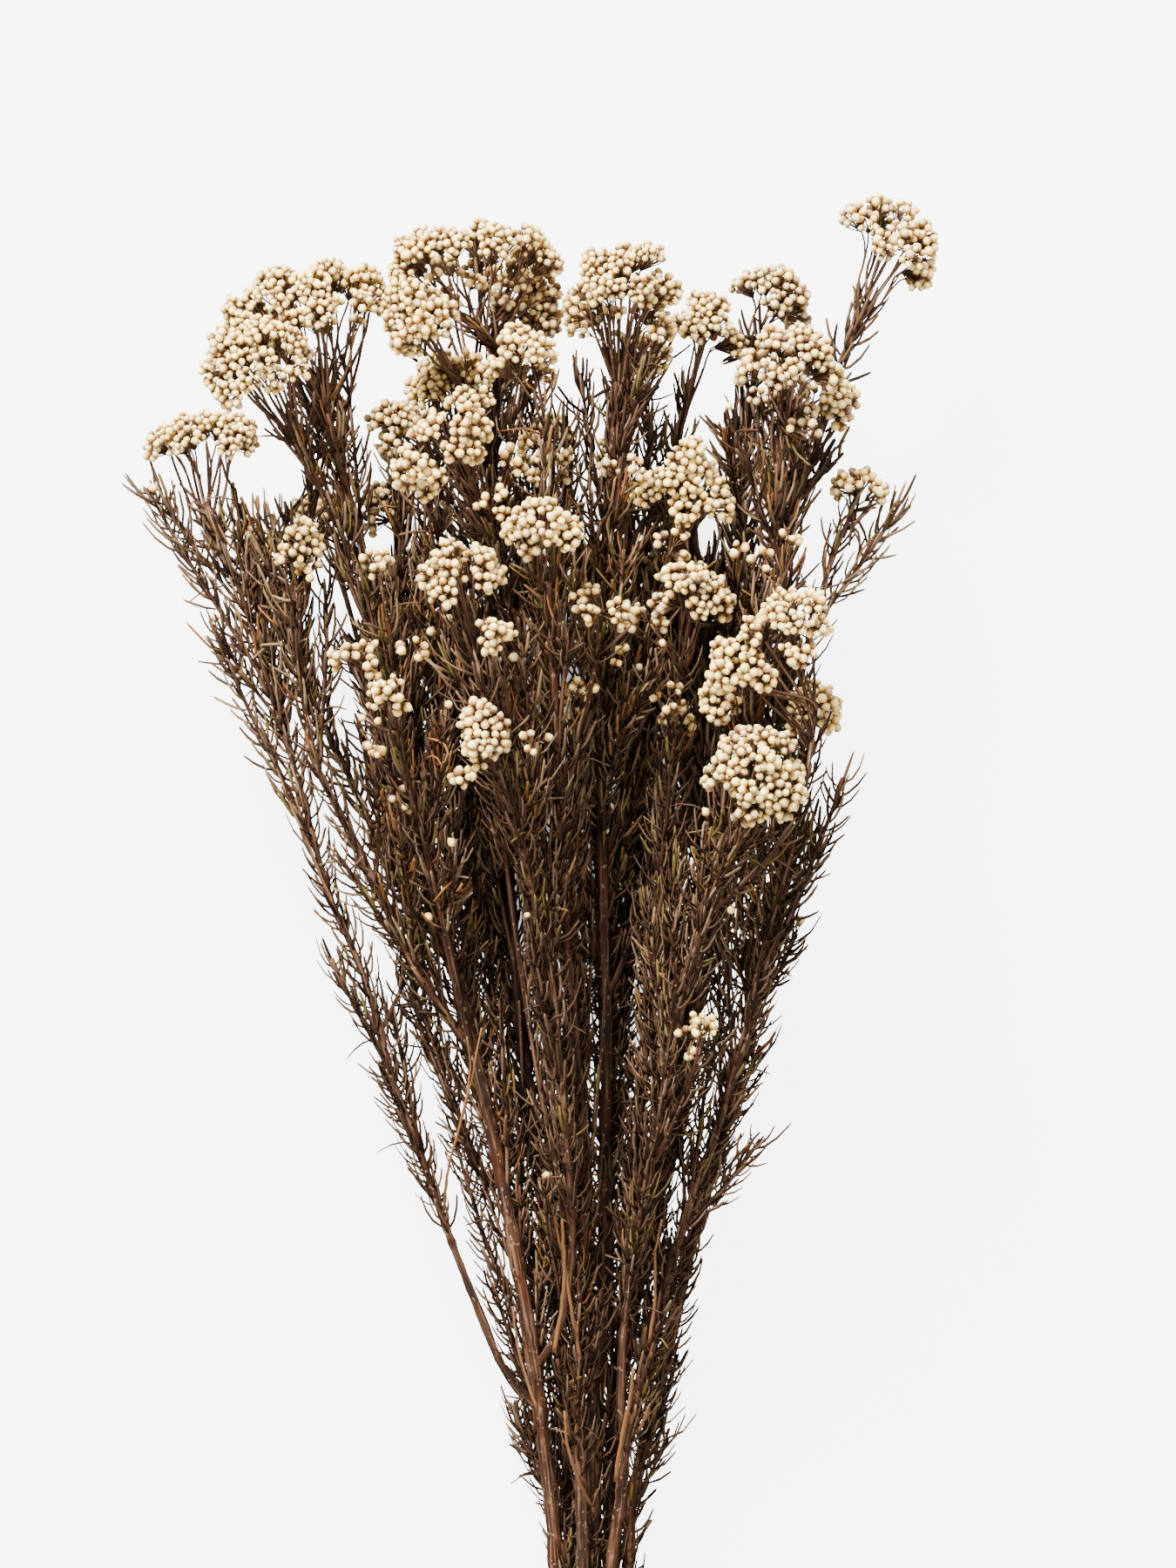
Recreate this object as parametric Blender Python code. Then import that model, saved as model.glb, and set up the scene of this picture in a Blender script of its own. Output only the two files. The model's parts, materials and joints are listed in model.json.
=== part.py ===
"""A cut bunch of dried rice flower, lying on its side on a table.

Metres, +Z up. The stems' cut ends point to -Y and the flower heads to +Y. Each cut stem is one leafy solid with its
branches, and each flower head is one solid of buds that stands 0.3 mm off the rays of its branch.
"""

import math
import random
from dataclasses import dataclass, field

import bmesh
import bpy
from mathutils import Matrix, Vector

MM = 0.001

# Driving dimensions
PIXEL = 0.30 * MM  # real width of one picture element at the bunch's middle height
LEAF_LENGTH = 13.5 * MM
LEAF_WIDTH = 1.5 * MM
BUD_PITCH = 9.5 * MM  # larger than the real 3.6 mm buds, so that they still cover each head
BUD_RISE = 0.26 * BUD_PITCH  # of a bud's top over its dome
BUD_TOP = 0.36 * BUD_PITCH  # from the middle of a bud's top to its corners
GAP = 0.3 * MM  # air between a flower head and the rays that carry it

# The picture that the places were read from: its size, and how it was taken
PICTURE = (1350, 1800)
VIEW_DISTANCE = 1600 * MM
MIDDLE_HEIGHT = 60 * MM
BUNCH_MIDDLE = (625.4, 1126.0)  # picture point that lies over the origin

# Shape of the leafy lines
STEP = 3 * MM  # between the points of a middle line
GOLDEN = math.radians(137.5)  # turn from one leaf or shoot to the next round its stem
LEAF_SPREAD = math.radians(36)
LEAVES_A_RING = 2
LEAF_CLEAR = 1.3 * MM  # air round a leaf's middle line, its own half width included
RING_SPACING = 20 * MM  # between the corners of a stem's outline, where its leaves start
BARE_SPACING = 30 * MM  # the same below its lowest leaf
BRANCH_RADII = (1.3 * MM, 0.9 * MM)
BRANCH_SLOPE = math.tan(math.radians(16))  # how fast a branch gains distance from its limb
BRANCH_LENGTHS = (48 * MM, 170 * MM)
SHOOT_RADII = (0.95 * MM, 0.75 * MM)
RAY_RADIUS = 0.7 * MM
RAY_LENGTHS = (8 * MM, 24 * MM)
RAY_SPREAD = 0.56  # how far out the rays meet a head, as a share of its half width
TWIG_RISE = 9 * MM  # how much higher up the limb a resting twig ends than it starts

# How the lines are moved apart
BENDS = 40  # rounds
CLEAR = 1.3 * MM  # wished for air between two lines
HEAD_CLEAR = 3 * MM  # wished for air between a line and another line's flower head
HEAD_PUSH = 8 * MM  # on a line through the middle of a head
LIFT = 1.6  # how much more readily lines part in height than sideways
LARGEST_BEND = 0.8 * MM  # in one round
EVENED = 4  # points each way that a bend is evened out over
HELD_TIP = 5  # points at a tip that its flower head holds
FORK_REACH = 24 * MM  # how far beyond a fork the two lines may still be close

# Each limb: stem, parent limb, radii in mm at foot and tip, the picture row above which it is leafy, and its route as
# (column, row, height above the table in mm)
LIMBS = {
    "a": ("left", None, (3.3, 1.5), 1260, [
        (645, 1962, 12), (642, 1870, 14), (637, 1770, 17), (630, 1700, 21), (620, 1616, 27), (607, 1528, 32),
        (589, 1423, 37), (568, 1310, 42), (545, 1215, 47), (527, 1141, 51), (505, 1050, 56), (485, 958, 62),
        (468, 874, 68), (450, 780, 74), (432, 690, 78), (408, 600, 80), (390, 535, 82), (376, 478, 82)]),
    "a_outer": ("left", "a", (1.9, 1.0), 1330, [
        (620, 1616, 27), (598, 1598, 28), (575, 1565, 31), (548, 1500, 35), (524, 1440, 38), (505, 1388, 40),
        (474, 1300, 44), (452, 1242, 46), (432, 1169, 48), (418, 1122, 50), (398, 1073, 52), (383, 1040, 53),
        (362, 972, 55), (345, 905, 57), (325, 840, 58), (303, 770, 59), (282, 700, 60), (262, 640, 61),
        (246, 592, 62)]),
    "a_inner": ("left", "a", (1.9, 1.1), 1190, [
        (545, 1215, 47), (510, 1163, 56), (482, 1118, 60), (460, 1079, 62), (440, 1034, 64), (421, 995, 66),
        (401, 955, 68), (381, 916, 70), (362, 872, 72), (350, 810, 76), (344, 750, 80), (343, 690, 84)]),
    "a_front": ("left", "a", (1.9, 1.2), 1480, [
        (613, 1570, 29), (630, 1548, 36), (646, 1515, 42), (655, 1470, 48), (657, 1405, 56), (652, 1320, 66),
        (643, 1220, 76), (628, 1120, 86), (610, 1020, 96), (592, 940, 106), (574, 890, 114)]),
    "c": ("centre", None, (4.0, 1.5), 1180, [
        (684, 1985, 10), (683, 1880, 11), (682, 1791, 12), (681, 1703, 15), (681, 1633, 18), (691, 1510, 24),
        (695, 1405, 30), (696, 1300, 36), (696, 1200, 42), (694, 1100, 48), (692, 1000, 55), (690, 900, 62),
        (689, 800, 70), (691, 700, 76), (697, 600, 82), (704, 500, 86), (708, 440, 88)]),
    "d": ("right", None, (2.6, 1.2), 1440, [
        (706, 1950, 20), (702, 1870, 20), (703, 1791, 21), (712, 1721, 24), (720, 1651, 28), (737, 1580, 32),
        (754, 1510, 37), (771, 1450, 42), (797, 1370, 48), (825, 1290, 55), (852, 1200, 62), (874, 1110, 70),
        (892, 1020, 78), (908, 940, 84), (920, 880, 88)]),
    "d_front": ("right", "d", (1.9, 1.2), 1520, [
        (720, 1651, 28), (713, 1610, 32), (716, 1528, 40), (728, 1440, 50), (745, 1350, 60), (765, 1250, 70),
        (785, 1150, 80), (808, 1060, 90), (832, 985, 99)]),
    "e": ("far_right", None, (2.7, 1.3), 1620, [
        (724, 1970, 8), (722, 1880, 9), (721, 1790, 11), (726, 1721, 13), (740, 1660, 16), (756, 1598, 20),
        (772, 1528, 24), (786, 1465, 28), (807, 1380, 32), (834, 1285, 38), (860, 1180, 44), (883, 1080, 50),
        (899, 980, 56), (905, 880, 62), (904, 780, 68), (898, 690, 74), (893, 600, 78), (893, 520, 80),
        (898, 462, 82)]),
    "e_outer": ("far_right", "e", (1.4, 0.9), 1200, [
        (905, 880, 62), (916, 800, 62), (930, 730, 62), (946, 670, 63), (966, 615, 64), (980, 585, 64)]),
    "f": ("back_left", None, (2.9, 1.4), 1560, [
        (662, 1990, 2.1), (658, 1890, 3.0), (655, 1790, 5), (652, 1700, 8), (648, 1600, 11), (638, 1500, 15),
        (625, 1390, 20), (610, 1270, 26), (596, 1150, 32), (585, 1020, 38), (576, 890, 46), (568, 760, 54),
        (564, 640, 62), (562, 540, 70), (560, 460, 76), (558, 405, 80)]),
    "g": ("back_right", None, (2.9, 1.3), 1560, [
        (704, 1972, 2.1), (702, 1880, 3.0), (700, 1790, 5), (699, 1720, 7), (703, 1650, 9), (717, 1560, 12),
        (738, 1450, 16), (762, 1330, 22), (782, 1200, 28), (800, 1070, 34), (815, 940, 38), (828, 820, 42),
        (840, 700, 44), (850, 600, 46), (858, 500, 46), (866, 430, 46), (876, 382, 46)]),
    "g_outer": ("back_right", "g", (1.6, 1.1), 1200, [
        (828, 820, 42), (850, 740, 44), (878, 660, 46), (908, 590, 48), (935, 520, 50), (957, 455, 51),
        (975, 400, 54), (998, 345, 57)]),
    "h": ("front", None, (2.6, 1.3), 1600, [
        (671, 1955, 21), (670, 1870, 22), (668, 1790, 24), (666, 1700, 27), (664, 1600, 31), (668, 1500, 36),
        (672, 1400, 43), (668, 1280, 53), (658, 1160, 64), (648, 1040, 76), (642, 920, 88), (637, 800, 100),
        (633, 720, 109), (629, 670, 114)]),
}

# Leafy shoots with no flower head that show on the outline, each with its limb, the picture row where it leaves it,
# and its tip as (column, row, height in mm)
SHOOTS = [
    ("a_outer", 790, (170, 560, 66)), ("a_outer", 985, (243, 716, 62)), ("a_outer", 1233, (381, 1100, 52)),
    ("a_outer", 1183, (486, 1062, 62)), ("a_outer", 1330, (449, 1160, 34)), ("a", 1300, (474, 1145, 36)),
    ("a_inner", 830, (312, 590, 70)), ("a_outer", 860, (280, 596, 44)), ("d", 1180, (941, 966, 66)),
    ("d", 1420, (872, 1308, 60)), ("e", 640, (834, 470, 92)), ("e_outer", 720, (1034, 575, 60)),
    ("h", 1300, (607, 1050, 98)), ("a", 1720, (594, 1622, 20)), ("e", 1330, (872, 1200, 40)),
    ("e", 1720, (765, 1560, 24)),
]
LIMB_SHOOTS = ["a", "a_inner", "a_front", "c", "d", "d_front", "e", "f", "g", "h"]
LIMB_SHOOT_SPACING = 80 * MM
LIMB_SHOOT_ROWS = (860, 1640)
SHOOT_LENGTHS = (52 * MM, 88 * MM)
SHOOT_REACH = 0.18  # how far from its limb a shoot ends, as a share of its length

# Short twigs of one limb that rest against another: the limb, what the twig rests on, and the picture row of its foot
RESTING_TWIGS = [
    ("h", "a", 1640), ("h", "c", 1700), ("f", "c", 1700), ("d", "c", 1680), ("g", "d", 1640), ("g", "e", 1760),
]

# Each flower head: picture column and row of its middle, height of that above the table, width, depth and thickness
# in mm, lean to the right and turn towards the viewer in degrees, and the limb that bears it
HEADS = [
    (232, 490, 62, 42, 36, 15, -4, 8, "a_outer"), (345, 335, 82, 64, 46, 22, -12, 12, "a"),
    (290, 402, 116, 40, 30, 20, -25, 35, "a"), (548, 280, 84, 64, 44, 20, 0, 5, "f"),
    (474, 350, 112, 26, 24, 22, -35, 30, "f"), (612, 338, 56, 26, 24, 20, 25, -10, "f"),
    (716, 325, 94, 42, 38, 32, 2, 20, "c"), (816, 362, 66, 30, 26, 19, 15, 10, "c"),
    (742, 402, 60, 20, 18, 15, 5, 0, "c"), (510, 424, 84, 32, 26, 16, -10, 20, "f"),
    (444, 478, 68, 22, 22, 20, -30, 10, "f"), (505, 497, 122, 44, 28, 16, -40, 60, "a_front"),
    (474, 552, 100, 18, 16, 13, -30, 30, "a"), (604, 402, 106, 26, 22, 20, 12, 25, "f"),
    (630, 487, 72, 20, 18, 14, 10, 10, "f"), (594, 534, 82, 18, 16, 12, -15, 30, "f"),
    (625, 598, 128, 30, 24, 17, 10, 55, "h"), (528, 645, 120, 31, 24, 17, -10, 35, "a_front"),
    (348, 622, 90, 17, 18, 21, 20, 30, "a_inner"), (286, 610, 44, 16, 16, 12, -15, 5, "a_inner"),
    (432, 640, 98, 16, 16, 11, -10, 20, "a"), (438, 568, 54, 20, 20, 18, -20, 0, "a"),
    (788, 545, 84, 36, 28, 26, 12, 30, "c"), (706, 520, 62, 16, 18, 18, -5, 10, "c"),
    (900, 330, 48, 32, 26, 17, 35, 5, "g"), (908, 400, 94, 36, 32, 20, 0, 12, "e"),
    (972, 450, 64, 26, 24, 13, 72, 5, "e"), (1040, 268, 60, 42, 32, 19, 44, 10, "g_outer"),
    (990, 551, 64, 23, 20, 11, 10, 5, "e_outer"), (906, 617, 98, 13, 12, 10, 5, 30, "e"),
    (884, 728, 116, 52, 28, 16, -35, 60, "d"), (800, 672, 104, 31, 26, 20, 10, 40, "d_front"),
    (756, 642, 62, 14, 14, 12, 0, 20, "c"), (688, 692, 116, 20, 20, 13, 0, 60, "h"),
    (822, 796, 98, 19, 18, 13, -20, 40, "d_front"), (938, 804, 88, 23, 22, 17, 20, 25, "d"),
    (868, 872, 118, 36, 38, 22, 0, 45, "d_front"), (405, 750, 104, 20, 18, 14, -20, 25, "a"),
    (446, 788, 116, 17, 16, 12, -10, 45, "a"), (565, 722, 124, 17, 17, 13, 0, 55, "a_front"),
    (553, 832, 126, 19, 24, 14, -5, 65, "a_front"), (662, 802, 82, 15, 14, 12, 0, 30, "h"),
    (776, 814, 70, 14, 14, 13, 0, 20, "c"), (803, 1178, 92, 12, 12, 10, 0, 45, "d_front"),
    (366, 585, 40, 28, 24, 16, -20, -30, "a_inner"), (478, 660, 6.6, 32, 28, 16, -10, -60, "f"),
    (604, 590, 34, 30, 26, 16, 5, -35, "f"), (560, 790, 6.0, 28, 26, 14, 0, -60, "f"),
    (704, 640, 30, 30, 26, 17, 0, -40, "g"), (800, 662, 20, 28, 26, 15, 8, -50, "g"),
    (872, 745, 6.6, 34, 28, 16, 12, -60, "g"), (684, 872, 5.4, 24, 22, 13, 0, -60, "g"),
]

LOOKS = {
    "bark and leaves": ((0.105, 0.058, 0.033), 0.8),
    "buds": ((0.72, 0.58, 0.38), 0.75),
}


@dataclass
class Line:
    """A limb, branch or leafy shoot: its middle line from foot to tip, and the radius at each point."""

    stem: str
    points: list
    radii: list
    sides: int
    parent: "Line" = None
    joint: int = 0  # the parent's point that it grows from
    leafy_from: int = 0
    head: int = None
    moved: list = field(default_factory=list)

    def grow_to(self, more, radius):
        """Lengthens the line through more points, and tapers it to a radius at the new tip."""
        start = self.radii[-1]
        self.points += more
        self.radii += [start + (radius - start) * (i + 1) / len(more) for i in range(len(more))]


@dataclass
class Head:
    """A flower head's place: the middle of its flat underside, its axes, and its size along each."""

    foot: Vector
    along: Vector  # out of the branch, through the middle of the dome
    wide: Vector
    deep: Vector
    size: Vector  # half width, half depth, thickness
    junction: Vector = None  # where its branch ends in rays


def at_picture(column, row, height):
    """The point at a height, in metres, that the viewer sees at that place in the picture."""

    def spread(level):
        return PIXEL * (VIEW_DISTANCE + MIDDLE_HEIGHT - level) / VIEW_DISTANCE

    x = (column - PICTURE[0] / 2) * spread(height) - (BUNCH_MIDDLE[0] - PICTURE[0] / 2) * PIXEL
    y = (PICTURE[1] / 2 - row) * spread(height) - (PICTURE[1] / 2 - BUNCH_MIDDLE[1]) * PIXEL
    return Vector((x, y, height))


def smooth_route(corners):
    """Points every STEP along one smooth curve through the corners."""
    ends = [2 * corners[0] - corners[1], *corners, 2 * corners[-1] - corners[-2]]
    fine = []
    for before, start, end, after in zip(ends, ends[1:], ends[2:], ends[3:]):
        pieces = max(2, round((end - start).length / (0.5 * STEP)))
        for i in range(pieces):
            fine.append(hermite(start, (end - before) / 2, end, (after - start) / 2, i / pieces))
    return even_steps([*fine, corners[-1]])


def hermite(start, leave, end, arrive, t):
    return (
        (1 + 2 * t) * (1 - t) ** 2 * start
        + t * (1 - t) ** 2 * leave
        + t * t * (3 - 2 * t) * end
        + t * t * (t - 1) * arrive
    )


def even_steps(fine):
    """The same line with its points an even distance apart, close to STEP."""
    reach = [0.0]
    for a, b in zip(fine, fine[1:]):
        reach.append(reach[-1] + (b - a).length)
    count = max(4, round(reach[-1] / STEP))
    points, at = [], 0
    for i in range(count + 1):
        goal = reach[-1] * i / count
        while at < len(fine) - 2 and reach[at + 1] < goal:
            at += 1
        share = (goal - reach[at]) / max(reach[at + 1] - reach[at], 1e-9)
        points.append(fine[at].lerp(fine[at + 1], min(1.0, share)))
    return points


def tapered(count, foot, tip):
    return [foot + (tip - foot) * i / (count - 1) for i in range(count)]


def heading(points, i):
    return (points[min(i + 1, len(points) - 1)] - points[max(i - 1, 0)]).normalized()


def nearest(points, place):
    return min(range(len(points)), key=lambda i: (points[i] - place).length_squared)


def point_at_row(line, row):
    """The line's point that lies at that picture row."""
    return min(range(len(line.points)), key=lambda i: abs(picture_row(line.points[i]) - row))


def picture_row(point):
    level = at_picture(0, 0, point.z)
    below = at_picture(0, PICTURE[1], point.z)
    return PICTURE[1] * (level.y - point.y) / (level.y - below.y)


def place_head(column, row, height, width, depth, thickness, lean, face, _limb):
    lean, face = math.radians(lean), math.radians(face)
    upright = Vector((math.sin(lean), math.cos(lean), 0))
    along = upright * math.cos(face) + Vector((0, 0, math.sin(face)))
    wide = Vector((math.cos(lean), -math.sin(lean), 0))
    size = Vector((width / 2, depth / 2, thickness)) * MM
    foot = at_picture(column, row, height * MM) - along * size.z / 2
    return Head(foot, along, wide, along.cross(wide), size)


def place_heads():
    """The flower heads, each with a junction for its rays where no other head is in the way."""
    heads = [place_head(*row) for row in HEADS]
    for head in heads:
        others = [other for other in heads if other is not head]
        choices = [
            head.foot - down * (reach * min(RAY_LENGTHS[1], max(RAY_LENGTHS[0], 1.1 * head.size.x)))
            for reach in (1.0, 0.8, 0.6)
            for down in ways_down(head)
        ]
        head.junction = min(choices, key=lambda place: crowding(head.foot, place, others))
    return heads


def ways_down(head):
    """Ways from a head to its junction: straight back from its dome, or turned towards the bunch's foot."""
    flat = Vector((head.along.x, head.along.y, 0)).normalized()
    for share in (0.4, 0.0, 0.8):
        yield head.along.lerp(flat, share).normalized()


def crowding(start, end, others):
    """How deep a straight line runs into other heads; nothing where it is clear of them all."""
    spots = [start.lerp(end, k / 5) for k in range(6)]
    return sum(max(0.0, inside(other, spot, 2 * MM)) for other in others for spot in spots)


def grow_limbs():
    limbs = {}
    for name, (stem, parent, radii, leafy_row, route) in LIMBS.items():
        corners = [at_picture(u, v, z * MM) for u, v, z in route]
        points = smooth_route(corners)
        sides = 4 if parent else 5
        line = Line(stem, points, tapered(len(points), radii[0] * MM, radii[1] * MM), sides)
        if parent:
            line.parent = limbs[parent]
            line.joint = nearest(line.parent.points, points[0])
        line.leafy_from = next(i for i, p in enumerate(points) if picture_row(p) < leafy_row)
        limbs[name] = line
    return limbs


def grow_branches(limbs, heads):
    """Carries each limb on to the head nearest its tip, and grows a branch to each of its other heads."""
    borne = {name: [n for n, row in enumerate(HEADS) if row[-1] == name] for name in limbs}
    branches = []
    for name, numbers in borne.items():
        limb = limbs[name]
        by_reach = sorted(numbers, key=lambda n: (heads[n].junction - limb.points[-1]).length)
        for number in by_reach[1:]:
            joint = fork_point(limb, heads[number].junction)
            points = reach_for(heads[number], limb, joint)
            radii = tapered(len(points), min(BRANCH_RADII[0], 0.8 * limb.radii[joint]), BRANCH_RADII[1])
            branches.append(Line(limb.stem, points, radii, 3, limb, joint, 5, number))
        if by_reach:
            limb.head = by_reach[0]
            limb.grow_to(reach_for(heads[limb.head], limb, len(limb.points) - 1)[1:], BRANCH_RADII[1])
    return branches


def reach_for(head, limb, joint):
    """Points from a limb to where the head's rays start, arriving along the way that the head faces."""
    start, goal = limb.points[joint], head.junction
    toward = (goal - start).normalized()
    gap = (goal - start).length
    leave = (1.7 * toward - 0.7 * heading(limb.points, joint)).normalized()
    arrive = (head.along * 0.5 + toward).normalized()
    return even_steps([hermite(start, leave * gap, goal, arrive * gap, i / 40) for i in range(41)])


def fork_point(limb, goal):
    """Where a branch to the goal leaves its limb, so that it gains distance from it slowly."""
    here = nearest(limb.points, goal)
    aside = (limb.points[here] - goal).length
    back = min(BRANCH_LENGTHS[1], max(BRANCH_LENGTHS[0], aside / BRANCH_SLOPE))
    return max(2, here - round(back / STEP))


def grow_shoots(limbs):
    shoots = []
    for name, row, tip in SHOOTS:
        limb = limbs[name]
        joint = point_at_row(limb, row)
        shoots.append(shoot_to(limb, joint, at_picture(tip[0], tip[1], tip[2] * MM)))
    draw = random.Random(7)
    for name in LIMB_SHOOTS:
        limb = limbs[name]
        first, last = (point_at_row(limb, row) for row in reversed(LIMB_SHOOT_ROWS))
        first = max(first, round(1.5 * FORK_REACH / STEP))
        turn = draw.uniform(0, math.tau)
        for joint in range(first, min(last, len(limb.points) - 12), round(LIMB_SHOOT_SPACING / STEP)):
            turn += GOLDEN
            length = draw.uniform(*SHOOT_LENGTHS)
            ahead = heading(limb.points, joint)
            side = Matrix.Rotation(turn, 3, ahead) @ ahead.orthogonal().normalized()
            side.z *= 0.8
            beside = limb.points[min(joint + round(length / STEP), len(limb.points) - 1)]
            tip = beside + side * length * SHOOT_REACH
            tip.z = max(tip.z, 6 * MM)
            shoots.append(shoot_to(limb, joint, tip))
    return shoots


def shoot_to(limb, joint, tip):
    start = limb.points[joint]
    toward = (tip - start).normalized()
    gap = (tip - start).length
    arrive = (heading(limb.points, joint) * 0.6 + toward).normalized()
    points = even_steps([hermite(start, toward * gap, tip, arrive * gap, i / 30) for i in range(31)])
    return Line(limb.stem, points, tapered(len(points), *SHOOT_RADII), 3, limb, joint, 4)


class Room:
    """What is already placed, as balls in a grid, so that a new piece can be tried against it."""

    CELL = 6 * MM

    def __init__(self):
        self.cells = {}

    def cell(self, point):
        return tuple(math.floor(x / self.CELL) for x in point)

    def add(self, point, radius, owner, index=0):
        self.cells.setdefault(self.cell(point), []).append((point, radius, owner, index))

    def near(self, point):
        i, j, k = self.cell(point)
        for di in (-1, 0, 1):
            for dj in (-1, 0, 1):
                for dk in (-1, 0, 1):
                    yield from self.cells.get((i + di, j + dj, k + dk), ())

    def free(self, point, radius, owner):
        for place, size, other, _ in self.near(point):
            if other != owner and (point - place).length <= radius + size:
                return False
        return True


def inside(head, point, margin):
    """How far a point is inside the head's outline, grown by a margin: above 0 within it."""
    middle = head.foot + head.along * head.size.z / 2
    offset = point - middle
    x = offset.dot(head.wide) / (head.size.x + margin)
    y = offset.dot(head.deep) / (head.size.y + margin)
    z = offset.dot(head.along) / (head.size.z / 2 + margin)
    return 1 - (x * x + y * y + z * z) ** 0.5


def bend_clear(lines, heads):
    """Moves the lines apart, and off the flower heads, until they no longer touch."""
    for _ in range(BENDS):
        room = Room()
        for line in lines:
            if line.head is not None:
                add_rays(room, heads[line.head], line)
        for number, line in enumerate(lines):
            for i, point in enumerate(line.points):
                room.add(point, line.radii[i], number, i)
        for number, line in enumerate(lines):
            line.moved = [push(lines, number, i, room, heads) for i in range(len(line.points))]
        for line in lines:
            shift(line)
    for line in lines:
        if line.parent:
            line.points[0] = line.parent.points[line.joint].copy()


def rays_of(line):
    return ("rays", line.head)


def joined(lines, number, i, other, j):
    """Whether two points lie where their lines grow out of one another, or out of one place."""
    if other not in range(len(lines)):
        return False
    line, rival = lines[number], lines[other]
    if rival is line.parent:
        return i * STEP < FORK_REACH
    if line is rival.parent:
        return j * STEP < FORK_REACH
    same_fork = line.parent and line.parent is rival.parent and abs(line.joint - rival.joint) * STEP < FORK_REACH
    return same_fork and min(i, j) * STEP < FORK_REACH


def push(lines, number, i, room, heads):
    """The move that takes one point of a line off what it is too near to."""
    line = lines[number]
    point, radius = line.points[i], line.radii[i]
    move = Vector((0, 0, 0))
    for place, size, other, j in room.near(point):
        apart = point - place
        short = radius + size + CLEAR - apart.length
        if short <= 0 or other in (number, rays_of(line)) or joined(lines, number, i, other, j):
            continue
        apart.z = LIFT * apart.z + 1e-6
        move += apart.normalized() * short * 0.5
    for n, head in enumerate(heads):
        own = n == line.head and i >= len(line.points) - HELD_TIP
        offset = point - head.foot - head.along * head.size.z / 2
        if own or offset.length > max(head.size) + HEAD_CLEAR + radius:
            continue
        deep = inside(head, point, radius + HEAD_CLEAR)
        if deep > 0:
            move += way_out(head, offset, heading(line.points, i)) * deep * HEAD_PUSH
    low = radius + CLEAR - point.z
    if low > 0 and line.parent:
        move.z += low
    return move


def way_out(head, offset, ahead):
    """The shortest way out of a head's outline for a line that runs past, across the line."""
    x = head.wide * (offset.dot(head.wide) / head.size.x**2)
    y = head.deep * (offset.dot(head.deep) / head.size.y**2)
    z = head.along * (offset.dot(head.along) / (0.5 * head.size.z) ** 2)
    way = x + y + z
    return (way - ahead * way.dot(ahead)).normalized()


def shift(line):
    """Applies a line's moves, evened out along it, with its foot following its parent and its tip held."""
    last = len(line.points) - 1
    new = []
    for i, point in enumerate(line.points):
        window = line.moved[max(0, i - EVENED) : i + EVENED + 1]
        mean = sum(window, Vector((0, 0, 0))) / (2 * EVENED + 1)
        mean *= min(1.0, LARGEST_BEND / max(mean.length, LARGEST_BEND))
        tip_hold = 1.0 if line.head is None else min(1.0, (last - i) / HELD_TIP)
        foot_hold = min(1.0, i / 5) if line.parent else min(1.0, i / 20)
        new.append(point + mean * 1.8 * tip_hold * foot_hold)
    if line.parent:
        drift = line.parent.points[line.joint] - new[0]
        reach = min(10, last)
        for i in range(reach):
            new[i] = new[i] + drift * (1 - i / reach)
    line.points = new


def rings_round(points, radii, sides):
    """Rings of corners round a line's points, without twist, as lists of places."""
    across = heading(points, 0).orthogonal().normalized()
    rings = []
    for i, (point, radius) in enumerate(zip(points, radii)):
        ahead = heading(points, i)
        across = (across - ahead * across.dot(ahead)).normalized()
        other = ahead.cross(across)
        turns = [math.tau * k / sides for k in range(sides)]
        rings.append([point + (across * math.cos(turn) + other * math.sin(turn)) * radius for turn in turns])
    return rings


def thinned(line):
    """The places of the rings along a line, always with its ends, their radii, and the first leafy ring."""
    last = len(line.points) - 1
    bare = round(line.leafy_from * STEP / BARE_SPACING)
    leafy = max(2, round((last - line.leafy_from) * STEP / RING_SPACING))
    keep = [round(line.leafy_from * n / bare) for n in range(bare)]
    first_leafy = max(1, len(keep))
    keep += [line.leafy_from + round((last - line.leafy_from) * n / leafy) for n in range(leafy + 1)]
    keep[0] = 0
    points = [line.points[i] for i in keep]
    if line.parent:
        # The foot goes a little into the parent, so that the two join
        points[0] = points[0] - heading(points, 0) * 0.4 * line.parent.radii[line.joint]
    return points, [line.radii[i] for i in keep], first_leafy


def leafy_mesh(line, number, room, draw):
    """A line's closed skin. Its leaves are raised from it, each out of the foot of one long face."""
    points, radii, first_leafy = thinned(line)
    rings = rings_round(points, radii, line.sides)
    mesh = bmesh.new()
    corners = [[mesh.verts.new(place) for place in ring] for ring in rings]
    mesh.faces.new(corners[0][::-1])
    mesh.faces.new(corners[-1])
    turn = draw.uniform(0, math.tau)
    for i in range(len(rings) - 1):
        leaves = {}
        if i >= first_leafy:
            turn += GOLDEN
            leaves = choose_leaves(rings, points, i, turn, number, room)
        for k in range(line.sides):
            after = (k + 1) % line.sides
            low, high = (corners[i][k], corners[i][after]), (corners[i + 1][k], corners[i + 1][after])
            if k in leaves:
                raise_leaf(mesh, low, high, leaves[k])
            else:
                mesh.faces.new((low[0], low[1], high[1], high[0]))
    return mesh


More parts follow.
